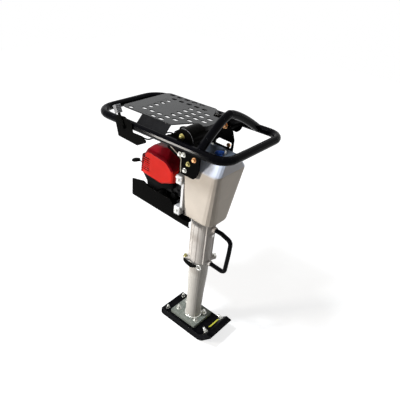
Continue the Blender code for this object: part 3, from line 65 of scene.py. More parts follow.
# Lamps: name, place, target, size, power in watts and colour
LIGHTS = (
    ("key", (-1.9, -2.5, 1.00), (0, 0, 0.75), 0.45, 82, (1.0, 0.955, 0.90)),
    ("top", (-0.8, -1.3, 3.20), (0, 0, 0.90), 0.40, 92, (0.90, 0.95, 1.0)),
    ("fill", (1.6, 2.4, 1.40), (0, 0, 0.70), 0.90, 15, (1.0, 1.0, 1.0)),
)

# Room light: strength below and above, between two heights of the view direction
ROOM_COLOUR = (1.0, 0.99, 0.975)
ROOM_HEIGHTS = (-0.3, 0.9)
ROOM_STRENGTHS = (0.045, 0.20)

# Floor: just under the sole, with a glow that grows between two distances so that no corner shows
FLOOR_HALF = 6.0
FLOOR_Z = -0.0005
FLOOR_PALE = (0.5, 0.5, 0.5)
FLOOR_PLAIN = (0.42, 0.41, 0.40)
GLOW_DISTANCES = (0.8, 2.6)
GLOW_STRENGTHS = (0.74, 0.95)

# Throttle cable: the route that its solid follows, on the leg
CABLE_ROUTE = ((-0.2440, 0.0785, 0.8305), (-0.2440, 0.0760, 0.8480), (-0.2500, 0.0713, 0.8800),
               (-0.2560, 0.0680, 0.9200), (-0.2550, 0.0100, 0.9620), (-0.2450, -0.0800, 0.9700),
               (-0.2300, -0.1400, 0.9800), (-0.2180, -0.1800, 1.0020), (-0.2140, -0.1960, 1.0150))
CABLE_STEPS = 3
CABLE_DIAMETER = 0.006

# Starter rope: the straight stretch between the eye and the grip
ROPE_EYE_X, ROPE_GRIP_X = -0.3440, -0.3800
ROPE_Y, ROPE_Z = -0.050, 0.789
ROPE_DIAMETER = 0.0044
ROPE_STEPS = 18

CORD_SIDES = 12
WIRE_SIDES = 10
WIRE_STEPS = 6


def add_object(name, data):
    """Object with the given data, put in the scene."""
    made = bpy.data.objects.new(name, data)
    bpy.context.scene.collection.objects.link(made)
    return made


def written(name, bm):
    """Mesh written from a bmesh, which is then freed."""
    mesh = bpy.data.meshes.new(name)
    bm.to_mesh(mesh)
    bm.free()
    return mesh


def add_camera():
    data = bpy.data.cameras.new("camera")
    data.lens = CAMERA_LENS
    data.sensor_width = CAMERA_SENSOR
    camera = add_object("camera", data)
    camera.location = CAMERA_PLACE
    camera.rotation_euler = CAMERA_TURN
    bpy.context.scene.camera = camera


def add_light(name, place, target, size, power, colour):
    """Square lamp that faces its target."""
    data = bpy.data.lights.new(name, "AREA")
    data.shape = "RECTANGLE"
    data.size = size
    data.size_y = size
    data.energy = power
    data.color = colour
    light = add_object(name, data)
    light.location = place
    way = Vector(target) - Vector(place)
    light.rotation_euler = way.to_track_quat("-Z", "Y").to_euler()


def angles(count):
    """Equal angles round a full turn."""
    return [2 * math.pi * k / count for k in range(count)]


def skin(bm, loops, ring=False):
    """Faces between neighbouring loops of vertices, which close into a ring or get a cap on each end."""
    count = len(loops[0])
    onward = loops[1:] + loops[:1] if ring else loops[1:]
    for low, high in zip(loops, onward):
        for n in range(count):
            after = (n + 1) % count
            bm.faces.new((low[n], low[after], high[after], high[n]))
    if not ring:
        bm.faces.new(loops[0][::-1])
        bm.faces.new(loops[-1])


def smooth_path(knots, steps):
    """Points of a smooth curve through every knot but the first and the last, which only steer it."""
    path = []
    for a, b, c, d in zip(knots, knots[1:], knots[2:], knots[3:]):
        for k in range(steps):
            t = k / steps
            path.append(0.5 * (2 * b + (c - a) * t + (2 * a - 5 * b + 4 * c - d) * t * t
                               + (3 * b - a - 3 * c + d) * t * t * t))
    return path + [knots[-2]]


def round_body(path, radius, sides):
    """Closed round body along a path."""
    last = len(path) - 1
    ways = [(path[min(k + 1, last)] - path[max(k - 1, 0)]).normalized() for k in range(len(path))]
    side = ways[0].orthogonal().normalized()
    bm = bmesh.new()
    loops = []
    for point, way in zip(path, ways):
        side = (side - way * side.dot(way)).normalized()
        up = way.cross(side)
        loops.append([bm.verts.new(point + (side * math.cos(a) + up * math.sin(a)) * radius)
                      for a in angles(sides)])
    skin(bm, loops)
    return bm


def cord_body(name, path, diameter):
    """Cord with a round section and flat ends; its look is given later."""
    mesh = written(name, round_body(path, diameter / 2, CORD_SIDES))
    mesh.polygons.foreach_set("use_smooth", [len(face.vertices) == 4 for face in mesh.polygons])
    return add_object(name, mesh)


class Nodes:
    """Short way to write a node tree."""

    def __init__(self, tree):
        self.tree = tree
        tree.nodes.clear()

    def add(self, kind, values=None, **settings):
        """New node with its settings, and with a value or a link on each named input."""
        node = self.tree.nodes.new(kind)
        for key, value in settings.items():
            setattr(node, key, value)
        for socket, value in (values or {}).items():
            self.put(node.inputs[socket], value)
        return node

    def put(self, socket, value):
        if isinstance(value, bpy.types.NodeSocket):
            self.tree.links.new(value, socket)
        elif isinstance(value, tuple) and socket.type == "RGBA":
            socket.default_value = (*value, 1.0)
        else:
            socket.default_value = value

    def noise(self, place, scale, detail, roughness):
        values = {"Scale": scale, "Detail": detail, "Roughness": roughness, "Vector": place}
        return self.add("ShaderNodeTexNoise", values).outputs["Fac"]

    def ramp(self, value, low, high, start=0.0, end=1.0):
        """Value remapped from low..high to start..end, and clamped."""
        values = {"Value": value, "From Min": low, "From Max": high, "To Min": start, "To Max": end}
        return self.add("ShaderNodeMapRange", values, clamp=True).outputs["Result"]

    def math(self, operation, a, b):
        return self.add("ShaderNodeMath", {0: a, 1: b}, operation=operation).outputs[0]

    def measure(self, operation, values):
        return self.add("ShaderNodeVectorMath", values, operation=operation).outputs["Value"]

    def mix(self, factor, a, b):
        node = self.add("ShaderNodeMix", data_type="RGBA")
        self.put(node.inputs["Factor"], factor)
        self.put(node.inputs["A"], a)
        self.put(node.inputs["B"], b)
        return node.outputs["Result"]

    def height(self, vector):
        return self.add("ShaderNodeSeparateXYZ", {0: vector}).outputs["Z"]

    def normal(self):
        return self.add("ShaderNodeNewGeometry").outputs["Normal"]

    def rounded(self, radius):
        return self.add("ShaderNodeBevel", {"Radius": radius}, samples=4).outputs[0]

    def bump(self, strength, distance, height, normal):
        values = {"Strength": strength, "Distance": distance, "Height": height, "Normal": normal}
        return self.add("ShaderNodeBump", values).outputs[0]

    def place(self):
        """Coordinates on the object, in metres: each CAD mesh is written in the model's own frame."""
        return self.add("ShaderNodeTexCoord").outputs["Object"]

    def seen(self):
        """1 for the rays that show the background: from the camera, off gloss and through glass."""
        path = self.add("ShaderNodeLightPath").outputs
        mirrored = self.math("MAXIMUM", path["Is Glossy Ray"], path["Is Transmission Ray"])
        return self.math("MAXIMUM", path["Is Camera Ray"], mirrored)


def new_material(name):
    """Material with an empty node tree, and the writer for it."""
    made = bpy.data.materials.new(name)
    made.use_nodes = True
    return made, Nodes(made.node_tree)


def add_world():
    """White to the camera; to the surfaces a soft room, pale above and darker below."""
    world = bpy.data.worlds.new("world")
    bpy.context.scene.world = world
    world.use_nodes = True
    n = Nodes(world.node_tree)
    way = n.add("ShaderNodeTexCoord").outputs["Generated"]
    level = n.ramp(n.height(way), *ROOM_HEIGHTS, *ROOM_STRENGTHS)
    room = n.add("ShaderNodeBackground", {"Color": ROOM_COLOUR, "Strength": level})
    white = n.add("ShaderNodeBackground", {"Color": (1.0, 1.0, 1.0), "Strength": 1.0})
    mixed = n.add("ShaderNodeMixShader", {0: n.seen(), 1: room.outputs[0], 2: white.outputs[0]})
    n.add("ShaderNodeOutputWorld", {"Surface": mixed.outputs[0]})


def add_floor():
    """Plain pale floor: white to the camera, with the object's shadow left on it."""
    bm = bmesh.new()
    bmesh.ops.create_grid(bm, x_segments=1, y_segments=1, size=FLOOR_HALF)
    floor = add_object("floor", written("floor", bm))
    floor.location.z = FLOOR_Z
    made, n = new_material("floor")
    pale = n.add("ShaderNodeBsdfDiffuse", {"Color": FLOOR_PALE})
    away = n.measure("LENGTH", {0: n.place()})
    strength = n.ramp(away, *GLOW_DISTANCES, *GLOW_STRENGTHS)
    glow = n.add("ShaderNodeEmission", {"Color": (1.0, 1.0, 1.0), "Strength": strength})
    both = n.add("ShaderNodeAddShader", {0: pale.outputs[0], 1: glow.outputs[0]})
    plain = n.add("ShaderNodeBsdfDiffuse", {"Color": FLOOR_PLAIN})
    mixed = n.add("ShaderNodeMixShader", {0: n.seen(), 1: plain.outputs[0], 2: both.outputs[0]})
    n.add("ShaderNodeOutputMaterial", {"Surface": mixed.outputs[0]})
    floor.data.materials.append(made)


add_camera()
bpy.context.scene.view_settings.view_transform = "Standard"
add_world()
add_floor()

cable_knots = [Vector(p) for p in CABLE_ROUTE]
cable_knots = [2 * cable_knots[0] - cable_knots[1]] + cable_knots + [2 * cable_knots[-1] - cable_knots[-2]]
cable_path = [LEG @ point for point in smooth_path(cable_knots, CABLE_STEPS)]
control_cable = cord_body("control_cable", cable_path, CABLE_DIAMETER)

rope_path = [LEG @ Vector((ROPE_EYE_X + (ROPE_GRIP_X - ROPE_EYE_X) * k / ROPE_STEPS, ROPE_Y, ROPE_Z))
             for k in range(ROPE_STEPS + 1)]
pull_rope = cord_body("pull_rope", rope_path, ROPE_DIAMETER)

for lamp in LIGHTS:
    add_light(*lamp)

# Noise of the surfaces: scale, detail and roughness
PATCHES = (14.0, 5.0, 0.65)
FINE = (220.0, 3.0, 0.7)
SPLASHES = (55.0, 4.0, 0.7)
DUST_LIE = (42.0, 6.0, 0.75)
STAINS = (60.0, 5.0, 0.7)

# Detail and roughness of the noise that raises a bump, and the depth of a painted one
RELIEF = (2.0, 0.5)
BUMP_DEPTH = 0.0004

# Paint: levels of the patches for its colour and its roughness, and how far the roughness spreads
PATCH_LEVELS, ROUGH_LEVELS = (0.3, 0.7), (0.25, 0.75)
PAINT_SPREAD = (0.85, 1.15)

# Dust: levels of its noise, of the upward slope that holds it, and the roughness that it gives
DUST_LEVELS, DUST_SLOPE, DUST_ROUGH = (0.42, 0.72), (0.1, 0.95), 0.9

# Foot tube: height of the line where its darker foot begins, how uneven it is, and its light scratches
SPLASH_HIGH, SPLASH_LOW, SPLASH_UNEVEN = 0.080, 0.066, 0.020
SCRATCH_LEVELS, SCRATCH_GAIN = (0.46, 0.60), 1.55

# Worn edges: how far the rounded normal has turned from the true one, and the share of fine noise they take
WORN_TURN = (0.995, 0.93)
WORN_NOISE = (0.62, 0.66)
WORN_REACH = 2.2

# Machined metal: noise stretched along its cut, its stains, and the sizes of its grooves and rounded edges
CUT_FINE, CUT_LONG = 1500.0, 40.0
STREAK_LEVELS, METAL_SPREAD = (0.2, 0.8), (0.75, 1.25)
STAIN_LEVELS, STAIN_SHADE = (0.35, 0.75), 0.72
GROOVE_DEPTH, GROOVE_STRENGTH = 0.00008, 0.35
METAL_EDGE = 0.0004

DARK_DUST = (0.10, 0.09, 0.08)
RUBBER_DUST = (0.09, 0.085, 0.08)
TREAD_DUST = (0.12, 0.11, 0.10)
SILVER_DUST = (0.34, 0.30, 0.25)
PALE_DUST = (0.30, 0.28, 0.25)


def painted(name, colour, roughness, grain, mottle, edge, specular, bump_scale=900.0, metallic=0.0,
            dusty=0.0, dust=PALE_DUST, bare=None, wear=0.0, foot=None, painted_top_lighting=None, top_lighting_rise=(0.06, 0.24)):
    """Painted, cast or moulded surface: uneven colour, dust, rounded and worn edges, a fine grain, and
    painted light and shade on its upward faces.
    """
    made, n = new_material(name)
    place = n.place()
    patches = n.noise(place, *PATCHES)
    fine = n.noise(place, *FINE)
    dark = tuple(c * (1.0 - mottle) for c in colour)
    light = tuple(min(1.0, c * (1.0 + mottle)) for c in colour)
    base = n.mix(n.ramp(patches, *PATCH_LEVELS), dark, light)
    if foot is not None:
        uneven = n.math("MULTIPLY", n.noise(place, *SPLASHES), SPLASH_UNEVEN)
        splash = n.math("ADD", n.height(place), uneven)
        scratched = n.mix(n.ramp(fine, *SCRATCH_LEVELS), foot, tuple(c * SCRATCH_GAIN for c in foot))
        base = n.mix(n.ramp(splash, SPLASH_HIGH, SPLASH_LOW), base, scratched)
    # Painted light and shade: faces that turn upwards are blended towards another colour, which paints a lit
    # top lighter and a shaded top darker
    if painted_top_lighting is not None:
        base = n.mix(n.ramp(n.height(n.normal()), *top_lighting_rise), base, painted_top_lighting)
    rough = n.ramp(patches, *ROUGH_LEVELS, *(roughness * share for share in PAINT_SPREAD))
    if dusty:
        lie = n.ramp(n.noise(place, *DUST_LIE), *DUST_LEVELS)
        lying = n.math("MULTIPLY", n.ramp(n.height(n.normal()), *DUST_SLOPE), lie)
        amount = n.math("MULTIPLY", lying, dusty)
        base = n.mix(amount, base, dust)
        rough = n.math("MAXIMUM", rough, n.math("MULTIPLY", amount, DUST_ROUGH))
    if bare is not None:
        turn = n.measure("DOT_PRODUCT", {0: n.rounded(edge * WORN_REACH), 1: n.normal()})
        rubbed = n.ramp(fine, WORN_NOISE[0] - wear, WORN_NOISE[1] - wear)
        base = n.mix(n.math("MULTIPLY", n.ramp(turn, *WORN_TURN), rubbed), base, bare)
    bump = n.bump(grain, BUMP_DEPTH, n.noise(place, bump_scale, *RELIEF), n.rounded(edge))
    shader = n.add("ShaderNodeBsdfPrincipled", {
        "Base Color": base, "Roughness": rough, "Metallic": metallic, "Normal": bump,
        "Specular IOR Level": specular})
    n.add("ShaderNodeOutputMaterial", {"Surface": shader.outputs[0]})
    return made


def machined(name, colour, roughness, axis):
    """Turned or ground metal, with fine grooves set along one axis and faint stains."""
    made, n = new_material(name)
    place = n.place()
    stretch = tuple(CUT_FINE if letter == axis else CUT_LONG for letter in "XYZ")
    lines = n.add("ShaderNodeMapping", {"Vector": place, "Scale": stretch}).outputs[0]
    streaks = n.noise(lines, 1.0, *RELIEF)
    stains = n.noise(place, *STAINS)
    base = n.mix(n.ramp(stains, *STAIN_LEVELS), colour, tuple(c * STAIN_SHADE for c in colour))
    rough = n.ramp(streaks, *STREAK_LEVELS, *(roughness * share for share in METAL_SPREAD))
    bump = n.bump(GROOVE_STRENGTH, GROOVE_DEPTH, streaks, n.rounded(METAL_EDGE))
    shader = n.add("ShaderNodeBsdfPrincipled", {
        "Base Color": base, "Roughness": rough, "Metallic": 1.0, "Normal": bump})
    n.add("ShaderNodeOutputMaterial", {"Surface": shader.outputs[0]})
    return made


PAINTS = {
    "gloss_black": dict(colour=(0.0008, 0.0008, 0.0016), roughness=0.10, grain=0.04, mottle=0.2,
                        edge=0.0010, specular=0.035, bump_scale=260.0, bare=(0.20, 0.19, 0.18), wear=-0.02),
    "satin_black": dict(colour=(0.0010, 0.0009, 0.0008), roughness=0.28, grain=0.10, mottle=0.25,
                        edge=0.0008, specular=0.012, bump_scale=700.0, dusty=0.03, dust=DARK_DUST,
                        bare=(0.24, 0.22, 0.20), wear=-0.01),
    # Tread: its flat top is painted lighter, a painted sheen of reflected light
    "tread_black": dict(colour=(0.0020, 0.0020, 0.0026), roughness=0.24, grain=0.10, mottle=0.3,
                        edge=0.0009, specular=0.10, bump_scale=500.0, dusty=0.05, dust=TREAD_DUST,
                        bare=(0.26, 0.24, 0.22), painted_top_lighting=(0.034, 0.034, 0.034), top_lighting_rise=(0.92, 0.985)),
    # Silver: faces that turn upwards are painted pale blue-white, a painted sky reflection on the case's
    # upper facet
    "silver": dict(colour=(0.60, 0.54, 0.47), roughness=0.38, grain=0.22, mottle=0.05, edge=0.0016,
                   specular=0.10, bump_scale=1100.0, dusty=0.06, dust=SILVER_DUST, painted_top_lighting=(0.66, 0.70, 0.80)),
    "leg_silver": dict(colour=(0.58, 0.545, 0.51), roughness=0.38, grain=0.18, mottle=0.07, edge=0.0010,
                       specular=0.10, bump_scale=1100.0, dusty=0.06, dust=SILVER_DUST),
    "foot_silver": dict(colour=(0.56, 0.54, 0.50), roughness=0.38, grain=0.18, mottle=0.08, edge=0.0010,
                        specular=0.10, bump_scale=1100.0, dusty=0.06, dust=SILVER_DUST,
                        foot=(0.15, 0.165, 0.145)),
    "cast": dict(colour=(0.60, 0.60, 0.60), roughness=0.42, grain=0.5, mottle=0.10, edge=0.0010,
                 specular=0.4, bump_scale=620.0, metallic=0.5),
    "dark_cast": dict(colour=(0.010, 0.010, 0.011), roughness=0.45, grain=0.5, mottle=0.25, edge=0.0010,
                      specular=0.10, bump_scale=620.0, dusty=0.08, dust=DARK_DUST),
    # Cover: a grey darker than the casting, partly the cover's own colour and partly painted shade
    "cover_grey_and_shade": dict(colour=(0.085, 0.10, 0.125), roughness=0.40, grain=0.3, mottle=0.2, edge=0.0010,
                       specular=0.10, bump_scale=620.0),
    # Red: faces that turn upwards are painted darker, painted shade under the handle
    "red": dict(colour=(0.66, 0.022, 0.015), roughness=0.24, grain=0.06, mottle=0.08, edge=0.0020,
                specular=0.05, bump_scale=380.0, dusty=0.02, painted_top_lighting=(0.17, 0.001, 0.006)),
    "black_plastic": dict(colour=(0.0020, 0.0020, 0.0022), roughness=0.42, grain=0.4, mottle=0.25,
                          edge=0.0010, specular=0.020, bump_scale=1300.0, dusty=0.04, dust=DARK_DUST),
    "rubber": dict(colour=(0.0035, 0.0035, 0.0035), roughness=0.62, grain=0.35, mottle=0.25, edge=0.0010,
                   specular=0.02, dusty=0.06, dust=RUBBER_DUST),
    # Grey rubber of the throttle grip, also used for the painted highlight on the near bracket
    "grey_rubber": dict(colour=(0.17, 0.17, 0.175), roughness=0.6, grain=0.35, mottle=0.15, edge=0.0008,
                        specular=0.3, dusty=0.1),
    "shoe_black": dict(colour=(0.0012, 0.0012, 0.0020), roughness=0.30, grain=0.3, mottle=0.35, edge=0.0012,
                       specular=0.022, bump_scale=420.0, dusty=0.07, dust=RUBBER_DUST,
                       bare=(0.26, 0.25, 0.24), wear=0.02),
    "blue": dict(colour=(0.020, 0.085, 0.36), roughness=0.30, grain=0.1, mottle=0.1, edge=0.0006,
                 specular=0.3),
    # Cream: the colour of the painted highlight along the near side plate's edge
    "highlight_cream": dict(colour=(0.62, 0.56, 0.46), roughness=0.40, grain=0.1, mottle=0.08, edge=0.0004,
                  specular=0.3),
    "yellow": dict(colour=(0.62, 0.62, 0.06), roughness=0.40, grain=0.15, mottle=0.12, edge=0.0003,
                   specular=0.3, dusty=0.1),
}

# Metals: colour, roughness and the axis along which their grooves are set
METALS = {
    "steel": ((0.62, 0.61, 0.60), 0.30, "Z"),
    "shaft_steel": ((0.60, 0.60, 0.60), 0.26, "X"),
    "spring_steel": ((0.22, 0.22, 0.24), 0.34, "Z"),
    "zinc": ((0.40, 0.36, 0.15), 0.30, "Z"),
    "white_zinc": ((0.66, 0.66, 0.62), 0.28, "Z"),
    "copper_zinc": ((0.70, 0.38, 0.18), 0.32, "Z"),
}

LOOKS = {look: painted(look, **settings) for look, settings in PAINTS.items()}
LOOKS.update({look: machined(look, *settings) for look, settings in METALS.items()})

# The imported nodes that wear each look
NODE_LOOKS = {
    "gloss_black": "handle_loop handle_hoop carry_handle",
    "tread_black": "platform",
    "satin_black": "handle_bracket_near handle_bracket_far side_plate_near side_plate_far engine_guard"
                   " lever_guard throttle_lever",
    "silver": "gear_case",
    "leg_silver": "guide_cylinder",
    "foot_silver": "spring_cylinder",
    "cast": "clutch_housing engine_cylinder carburettor cylinder_cap clutch_rotor flywheel_fan",
    "dark_cast": "crankcase",
    "red": "engine_cowl",
    "black_plastic": "recoil_housing air_cleaner fuel_tank fuel_cap starter_pulley",
    "rubber": "rubber_mount_near rubber_mount_far engine_mount_front engine_mount_rear keeper_strap"
              " throttle_cable starter_rope starter_grip",
    "grey_rubber": "throttle_grip",
    "shoe_black": "sole_plate shoe_block",
    "steel": "piston_rod spring_piston piston_nut oil_sight_plug silencer",
    "shaft_steel": "connecting_rod wrist_pin crank_gear crank_bearing pinion_bearing pinion_shaft"
                   " clutch_drum engine_crankshaft",
    "spring_steel": "lower_spring upper_spring",
    "white_zinc": "foot_bolt_front_near foot_bolt_front_far foot_bolt_rear_near foot_bolt_rear_far"
                  " keeper_ring",
    "blue": "oil_filler_plug",
}
for look, names in NODE_LOOKS.items():
    for name in names.split():
        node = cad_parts[name]
        if not node.material_slots:
            node.data.materials.append(LOOKS[look])
        for holder in node.material_slots:
            holder.material = LOOKS[look]

SHARP_ANGLE, SOFT_ANGLE = 35.0, 60.0
WASHER_SINK, WASHER_BEVEL, WASHER_CHAMFER = 0.0004, 0.0003, 0.0004
HEX = math.cos(math.pi / 6)

# Bolt head: its foot, top and dished mark as shares of its corner radius, and the share of its height that
# its top is chamfered
HEAD_FOOT, HEAD_TOP, MARK_RIM, MARK_FLOOR = 0.95, 0.84, 0.62, 0.56
HEAD_CHAMFER, HEAD_STEP = 0.16, 0.0004

# Nut: its foot and top as shares of its corner radius, its chamfers, and its split washer and stud's thread
NUT_FOOT, NUT_TOP, NUT_CHAMFER = 0.88, 0.86, 0.12
SPLIT_THICK, SPLIT_WIDTH = 0.0018, 0.80
THREAD_PITCH, THREAD_ROOT, THREAD_FOOT, THREAD_CREST = 0.0016, 0.90, 0.0003, 0.6
STUD_END, STUD_END_WIDTH = 0.0008, 0.72


def piece(name, bm, look, body, sharp=SHARP_ANGLE):
    """Object made from a mesh, with its look and the body that it rides on."""
    bmesh.ops.recalc_face_normals(bm, faces=bm.faces)
    mesh = written(name, bm)
    for face in mesh.polygons:
        face.use_smooth = True
    mesh.set_sharp_from_angle(angle=math.radians(sharp))
    mesh.materials.append(LOOKS[look])
    made = add_object(name, mesh)
    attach(made, body)
    return made


def stand_in(name, mesh, look, node):
    """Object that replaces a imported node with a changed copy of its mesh."""
    mesh.materials.clear()
    mesh.materials.append(LOOKS[look])
    made = add_object(name, mesh)
    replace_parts(made, node)
    return made


def facing(axes, place, way):
    """Matrix whose z axis points the given way from a place, both in the given axes."""
    turn = Vector(way).to_track_quat("Z", "Y").to_matrix().to_4x4()
    return axes @ Matrix.Translation(place) @ turn


def stack(name, rings, place, look, body, count=24):
    """Closed body of rings along z: each is (height, radius, form), round "o" or hexagonal "h"."""
    bm = bmesh.new()
    loops = []
    for height, radius, form in rings:
        loop = []
        for angle in angles(count):
            reach = radius
            if form == "h":
                reach = radius * HEX / math.cos(angle % (math.pi / 3) - math.pi / 6)
            point = Vector((reach * math.cos(angle), reach * math.sin(angle), height))
            loop.append(bm.verts.new(place @ point))
        loops.append(loop)
    skin(bm, loops)
    return piece(name, bm, look, body)


def washer_rings(radius, thick):
    """Plain washer, sunk a little into what it lies on."""
    return [(-WASHER_SINK, radius, "o"), (thick - WASHER_BEVEL, radius, "o"),
            (thick, radius - WASHER_CHAMFER, "o")]


def hex_bolt(name, place, look, body, across=0.013, head=0.007, washer=0.0105, thick=0.0018):
    """Bolt head with a chamfered top on a plain washer."""
    corner = across / 2 / HEX
    top = thick + head
    rings = washer_rings(washer, thick) + [
        (thick, corner * HEAD_FOOT, "h"), (thick + HEAD_STEP, corner, "h"),
        (top - head * HEAD_CHAMFER, corner, "h"), (top, corner * HEAD_TOP, "o"),
        (top, corner * MARK_RIM, "o"), (top - HEAD_STEP, corner * MARK_FLOOR, "o")]
    return stack(name, rings, place, look, body)


def stud_nut(name, place, look, body, across, height, washer, thick, stud, out):
    """Nut on a plain and a split washer, with the threaded end of its stud standing out."""
    corner = across / 2 / HEX
    seat = thick + SPLIT_THICK
    top = seat + height
    rings = washer_rings(washer, thick) + [
        (thick, washer * SPLIT_WIDTH, "o"), (seat, washer * SPLIT_WIDTH, "o"), (seat, corner * NUT_FOOT, "o"),
        (seat + height * NUT_CHAMFER, corner, "h"), (top - height * NUT_CHAMFER, corner, "h"),
        (top, corner * NUT_TOP, "o"), (top, stud, "o")]
    turns = max(2, int(out / THREAD_PITCH))
    for k in range(turns):
        start = top + out * k / turns
        rings += [(start + THREAD_FOOT, stud * THREAD_ROOT, "o"),
                  (start + out / turns * THREAD_CREST, stud, "o")]
    rings += [(top + out, stud * THREAD_ROOT, "o"), (top + out + STUD_END, stud * STUD_END_WIDTH, "o")]
    return stack(name, rings, place, look, body)


def wire(name, points, radius, look, body):
    """Round wire along a smooth curve through points on the leg, as one closed mesh."""
    line = [LEG @ Vector(p) for p in points]
    path = smooth_path([line[0]] + line + [line[-1]], WIRE_STEPS)
    return piece(name, round_body(path, radius, WIRE_SIDES), look, body)


def moulding(name, outline, low, high, look, body, inset):
    """Plate on the leg with a chamfered rim: an outline in u and y between two heights."""
    middle = Vector((sum(p[0] for p in outline), sum(p[1] for p in outline))) / len(outline)
    bm = bmesh.new()
    loops = []
    for height, drawn in ((low, 0.0), (high - inset, 0.0), (high, inset)):
        loop = []
        for x, y in outline:
            way = Vector((x, y)) - middle
            point = middle + way * (1 - drawn / way.length)
            loop.append(bm.verts.new(LEG @ Vector((point.x, point.y, height))))
        loops.append(loop)
    skin(bm, loops)
    return piece(name, bm, look, body)


def swept(name, sections, look, body, sharp=SHARP_ANGLE):
    """Closed body through sections: each is a list of as many points."""
    bm = bmesh.new()
    skin(bm, [[bm.verts.new(p) for p in section] for section in sections])
    return piece(name, bm, look, body, sharp)


def torus(name, radius, wire_radius, place, look, body, turns=40, sides=10):
    """Round ring about the z axis of its place."""
    bm = bmesh.new()
    loops = []
    for angle in angles(turns):
        way = Vector((math.cos(angle), math.sin(angle), 0))
        loops.append([bm.verts.new(place @ (way * (radius + wire_radius * math.cos(a))
                                            + Vector((0, 0, wire_radius * math.sin(a)))))
                      for a in angles(sides)])
    skin(bm, loops, ring=True)
    return piece(name, bm, look, body, SOFT_ANGLE)


def oval(u, y, s, across, tall, count):
    """Oval section that stands across the leg's u axis."""
    return [LEG @ Vector((u, y + across * math.cos(a), s + tall * math.sin(a))) for a in angles(count)]


def round_corners(points, radius, steps=4):
    """Outline with each corner rounded."""
    out = []
    count = len(points)
    for k in range(count):
        corner = Vector(points[k])
        into = (Vector(points[k - 1]) - corner).normalized()
        away = (Vector(points[(k + 1) % count]) - corner).normalized()
        half = into.angle(away) / 2
        bend = math.pi - 2 * half
        reach = radius / math.tan(half)
        centre = corner + (into + away).normalized() * (radius / math.sin(half))
        start = corner + into * reach - centre
        end = corner + away * reach - centre
        for step in range(steps + 1):
            t = step / steps
            out.append(tuple(centre + (start * math.sin((1 - t) * bend) + end * math.sin(t * bend))
                             / math.sin(bend)))
    return out


# Bolts on the side plates: their u and s on the leg. One of them is on the near plate alone
PLATE_FACE_Y = 0.110
PLATE_BOLTS = ((-0.0790, 0.9635, "white_zinc"), (-0.0586, 0.9677, "white_zinc"), (-0.0306, 0.9373, "zinc"),
               (-0.0020, 0.9665, "copper_zinc"), (-0.0460, 0.9020, "white_zinc"))
NEAR_ALONE = 1
MOUNT_NUT_U, MOUNT_NUT_Y, MOUNT_NUT_S = -0.034, 0.156, 1.068
MOUNT_U, MOUNT_S = -0.022, 1.058
MOUNT_HEAD_Y = 0.0920
for side, hand in ((-1, "near"), (1, "far")):
    for k, (u, s, look) in enumerate(PLATE_BOLTS):
        if side < 0 or k != NEAR_ALONE:
            hex_bolt(f"plate_bolt_{hand}_{k}", facing(LEG, (u, side * PLATE_FACE_Y, s), (0, side, 0)), look,
                     "housing")
    stud_nut(f"mount_nut_{hand}", facing(LEG, (MOUNT_NUT_U, side * MOUNT_NUT_Y, MOUNT_NUT_S), (0, side, 0)),
             "zinc", "handle", across=0.015, height=0.006, washer=0.0135, thick=0.0022, stud=0.0050,
             out=0.002)
for side, hand in ((1, "far"), (-1, "near")):
    hex_bolt(f"mount_head_{hand}", facing(LEG, (MOUNT_U, side * MOUNT_HEAD_Y, MOUNT_S), (0, -side, 0)),
             "copper_zinc", "housing", across=0.022, head=0.009, washer=0.0160, thick=0.0026)

# Near bracket: thin grey line round the upper front edge of its face, a painted highlight of that edge
RIM_RADIUS, RIM_FACE_Y, RIM_HIGHLIGHT_RADIUS = 0.0452, -0.1562, 0.0006
RIM_START, RIM_STEP, RIM_POINTS = 112, 10.5, 11
rim = []
for k in range(RIM_POINTS):
    angle = math.radians(RIM_START - RIM_STEP * k)
    rim.append((MOUNT_U + RIM_RADIUS * math.cos(angle), RIM_FACE_Y, MOUNT_S + RIM_RADIUS * math.sin(angle)))
wire("bracket_rim_highlight", rim, RIM_HIGHLIGHT_RADIUS, "grey_rubber", "handle")

# Foot: nuts on the flange's studs
FLANGE_X, FLANGE_TOP_Z = -0.0325, 0.0566
STUD_X, STUD_Y = 0.058, 0.034
for end, x in (("front", FLANGE_X + STUD_X), ("rear", FLANGE_X - STUD_X)):
    for hand, y in (("near", -STUD_Y), ("far", STUD_Y)):
        nut = stud_nut(f"flange_nut_{end}_{hand}", facing(GROUND, (x, y, FLANGE_TOP_Z), (0, 0, 1)),
                       "white_zinc", "foot", across=0.0175, height=0.0105, washer=0.0140, thick=0.0026,
                       stud=0.0058, out=0.0085)
        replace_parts(nut, f"foot_bolt_{end}_{hand}")

# Shoe: bolts through the slope of its toe and through its heel
TOE_X, TOE_Z = (0.096, 0.1395), (0.040, 0.081)
TOE_SLOPE = math.atan2(TOE_Z[1] - TOE_Z[0], TOE_X[1] - TOE_X[0])
TOE_BOLT_SHIFT, TOE_BOLT_RISE = 0.003, 0.0006
HEEL_BOLT_X, HEEL_TOP_Z, SHOE_BOLT_Y = -0.1455, 0.0406, 0.060
for hand, y in (("near", -SHOE_BOLT_Y), ("far", SHOE_BOLT_Y)):
    toe = Matrix.Translation((sum(TOE_X) / 2 + TOE_BOLT_SHIFT, y, sum(TOE_Z) / 2 + TOE_BOLT_SHIFT))
    toe = toe @ Matrix.Rotation(-TOE_SLOPE, 4, "Y") @ Matrix.Translation((0, 0, TOE_BOLT_RISE))
    stud_nut(f"toe_bolt_{hand}", toe, "white_zinc", "foot", across=0.0160, height=0.0100, washer=0.0130,
             thick=0.0024, stud=0.0058, out=0.0110)
    heel = facing(GROUND, (HEEL_BOLT_X, y, HEEL_TOP_Z), (0, 0, 1))
    stud_nut(f"heel_bolt_{hand}", heel, "white_zinc", "foot", across=0.0130, height=0.0090, washer=0.0105,
             thick=0.0020, stud=0.0050, out=0.0070)

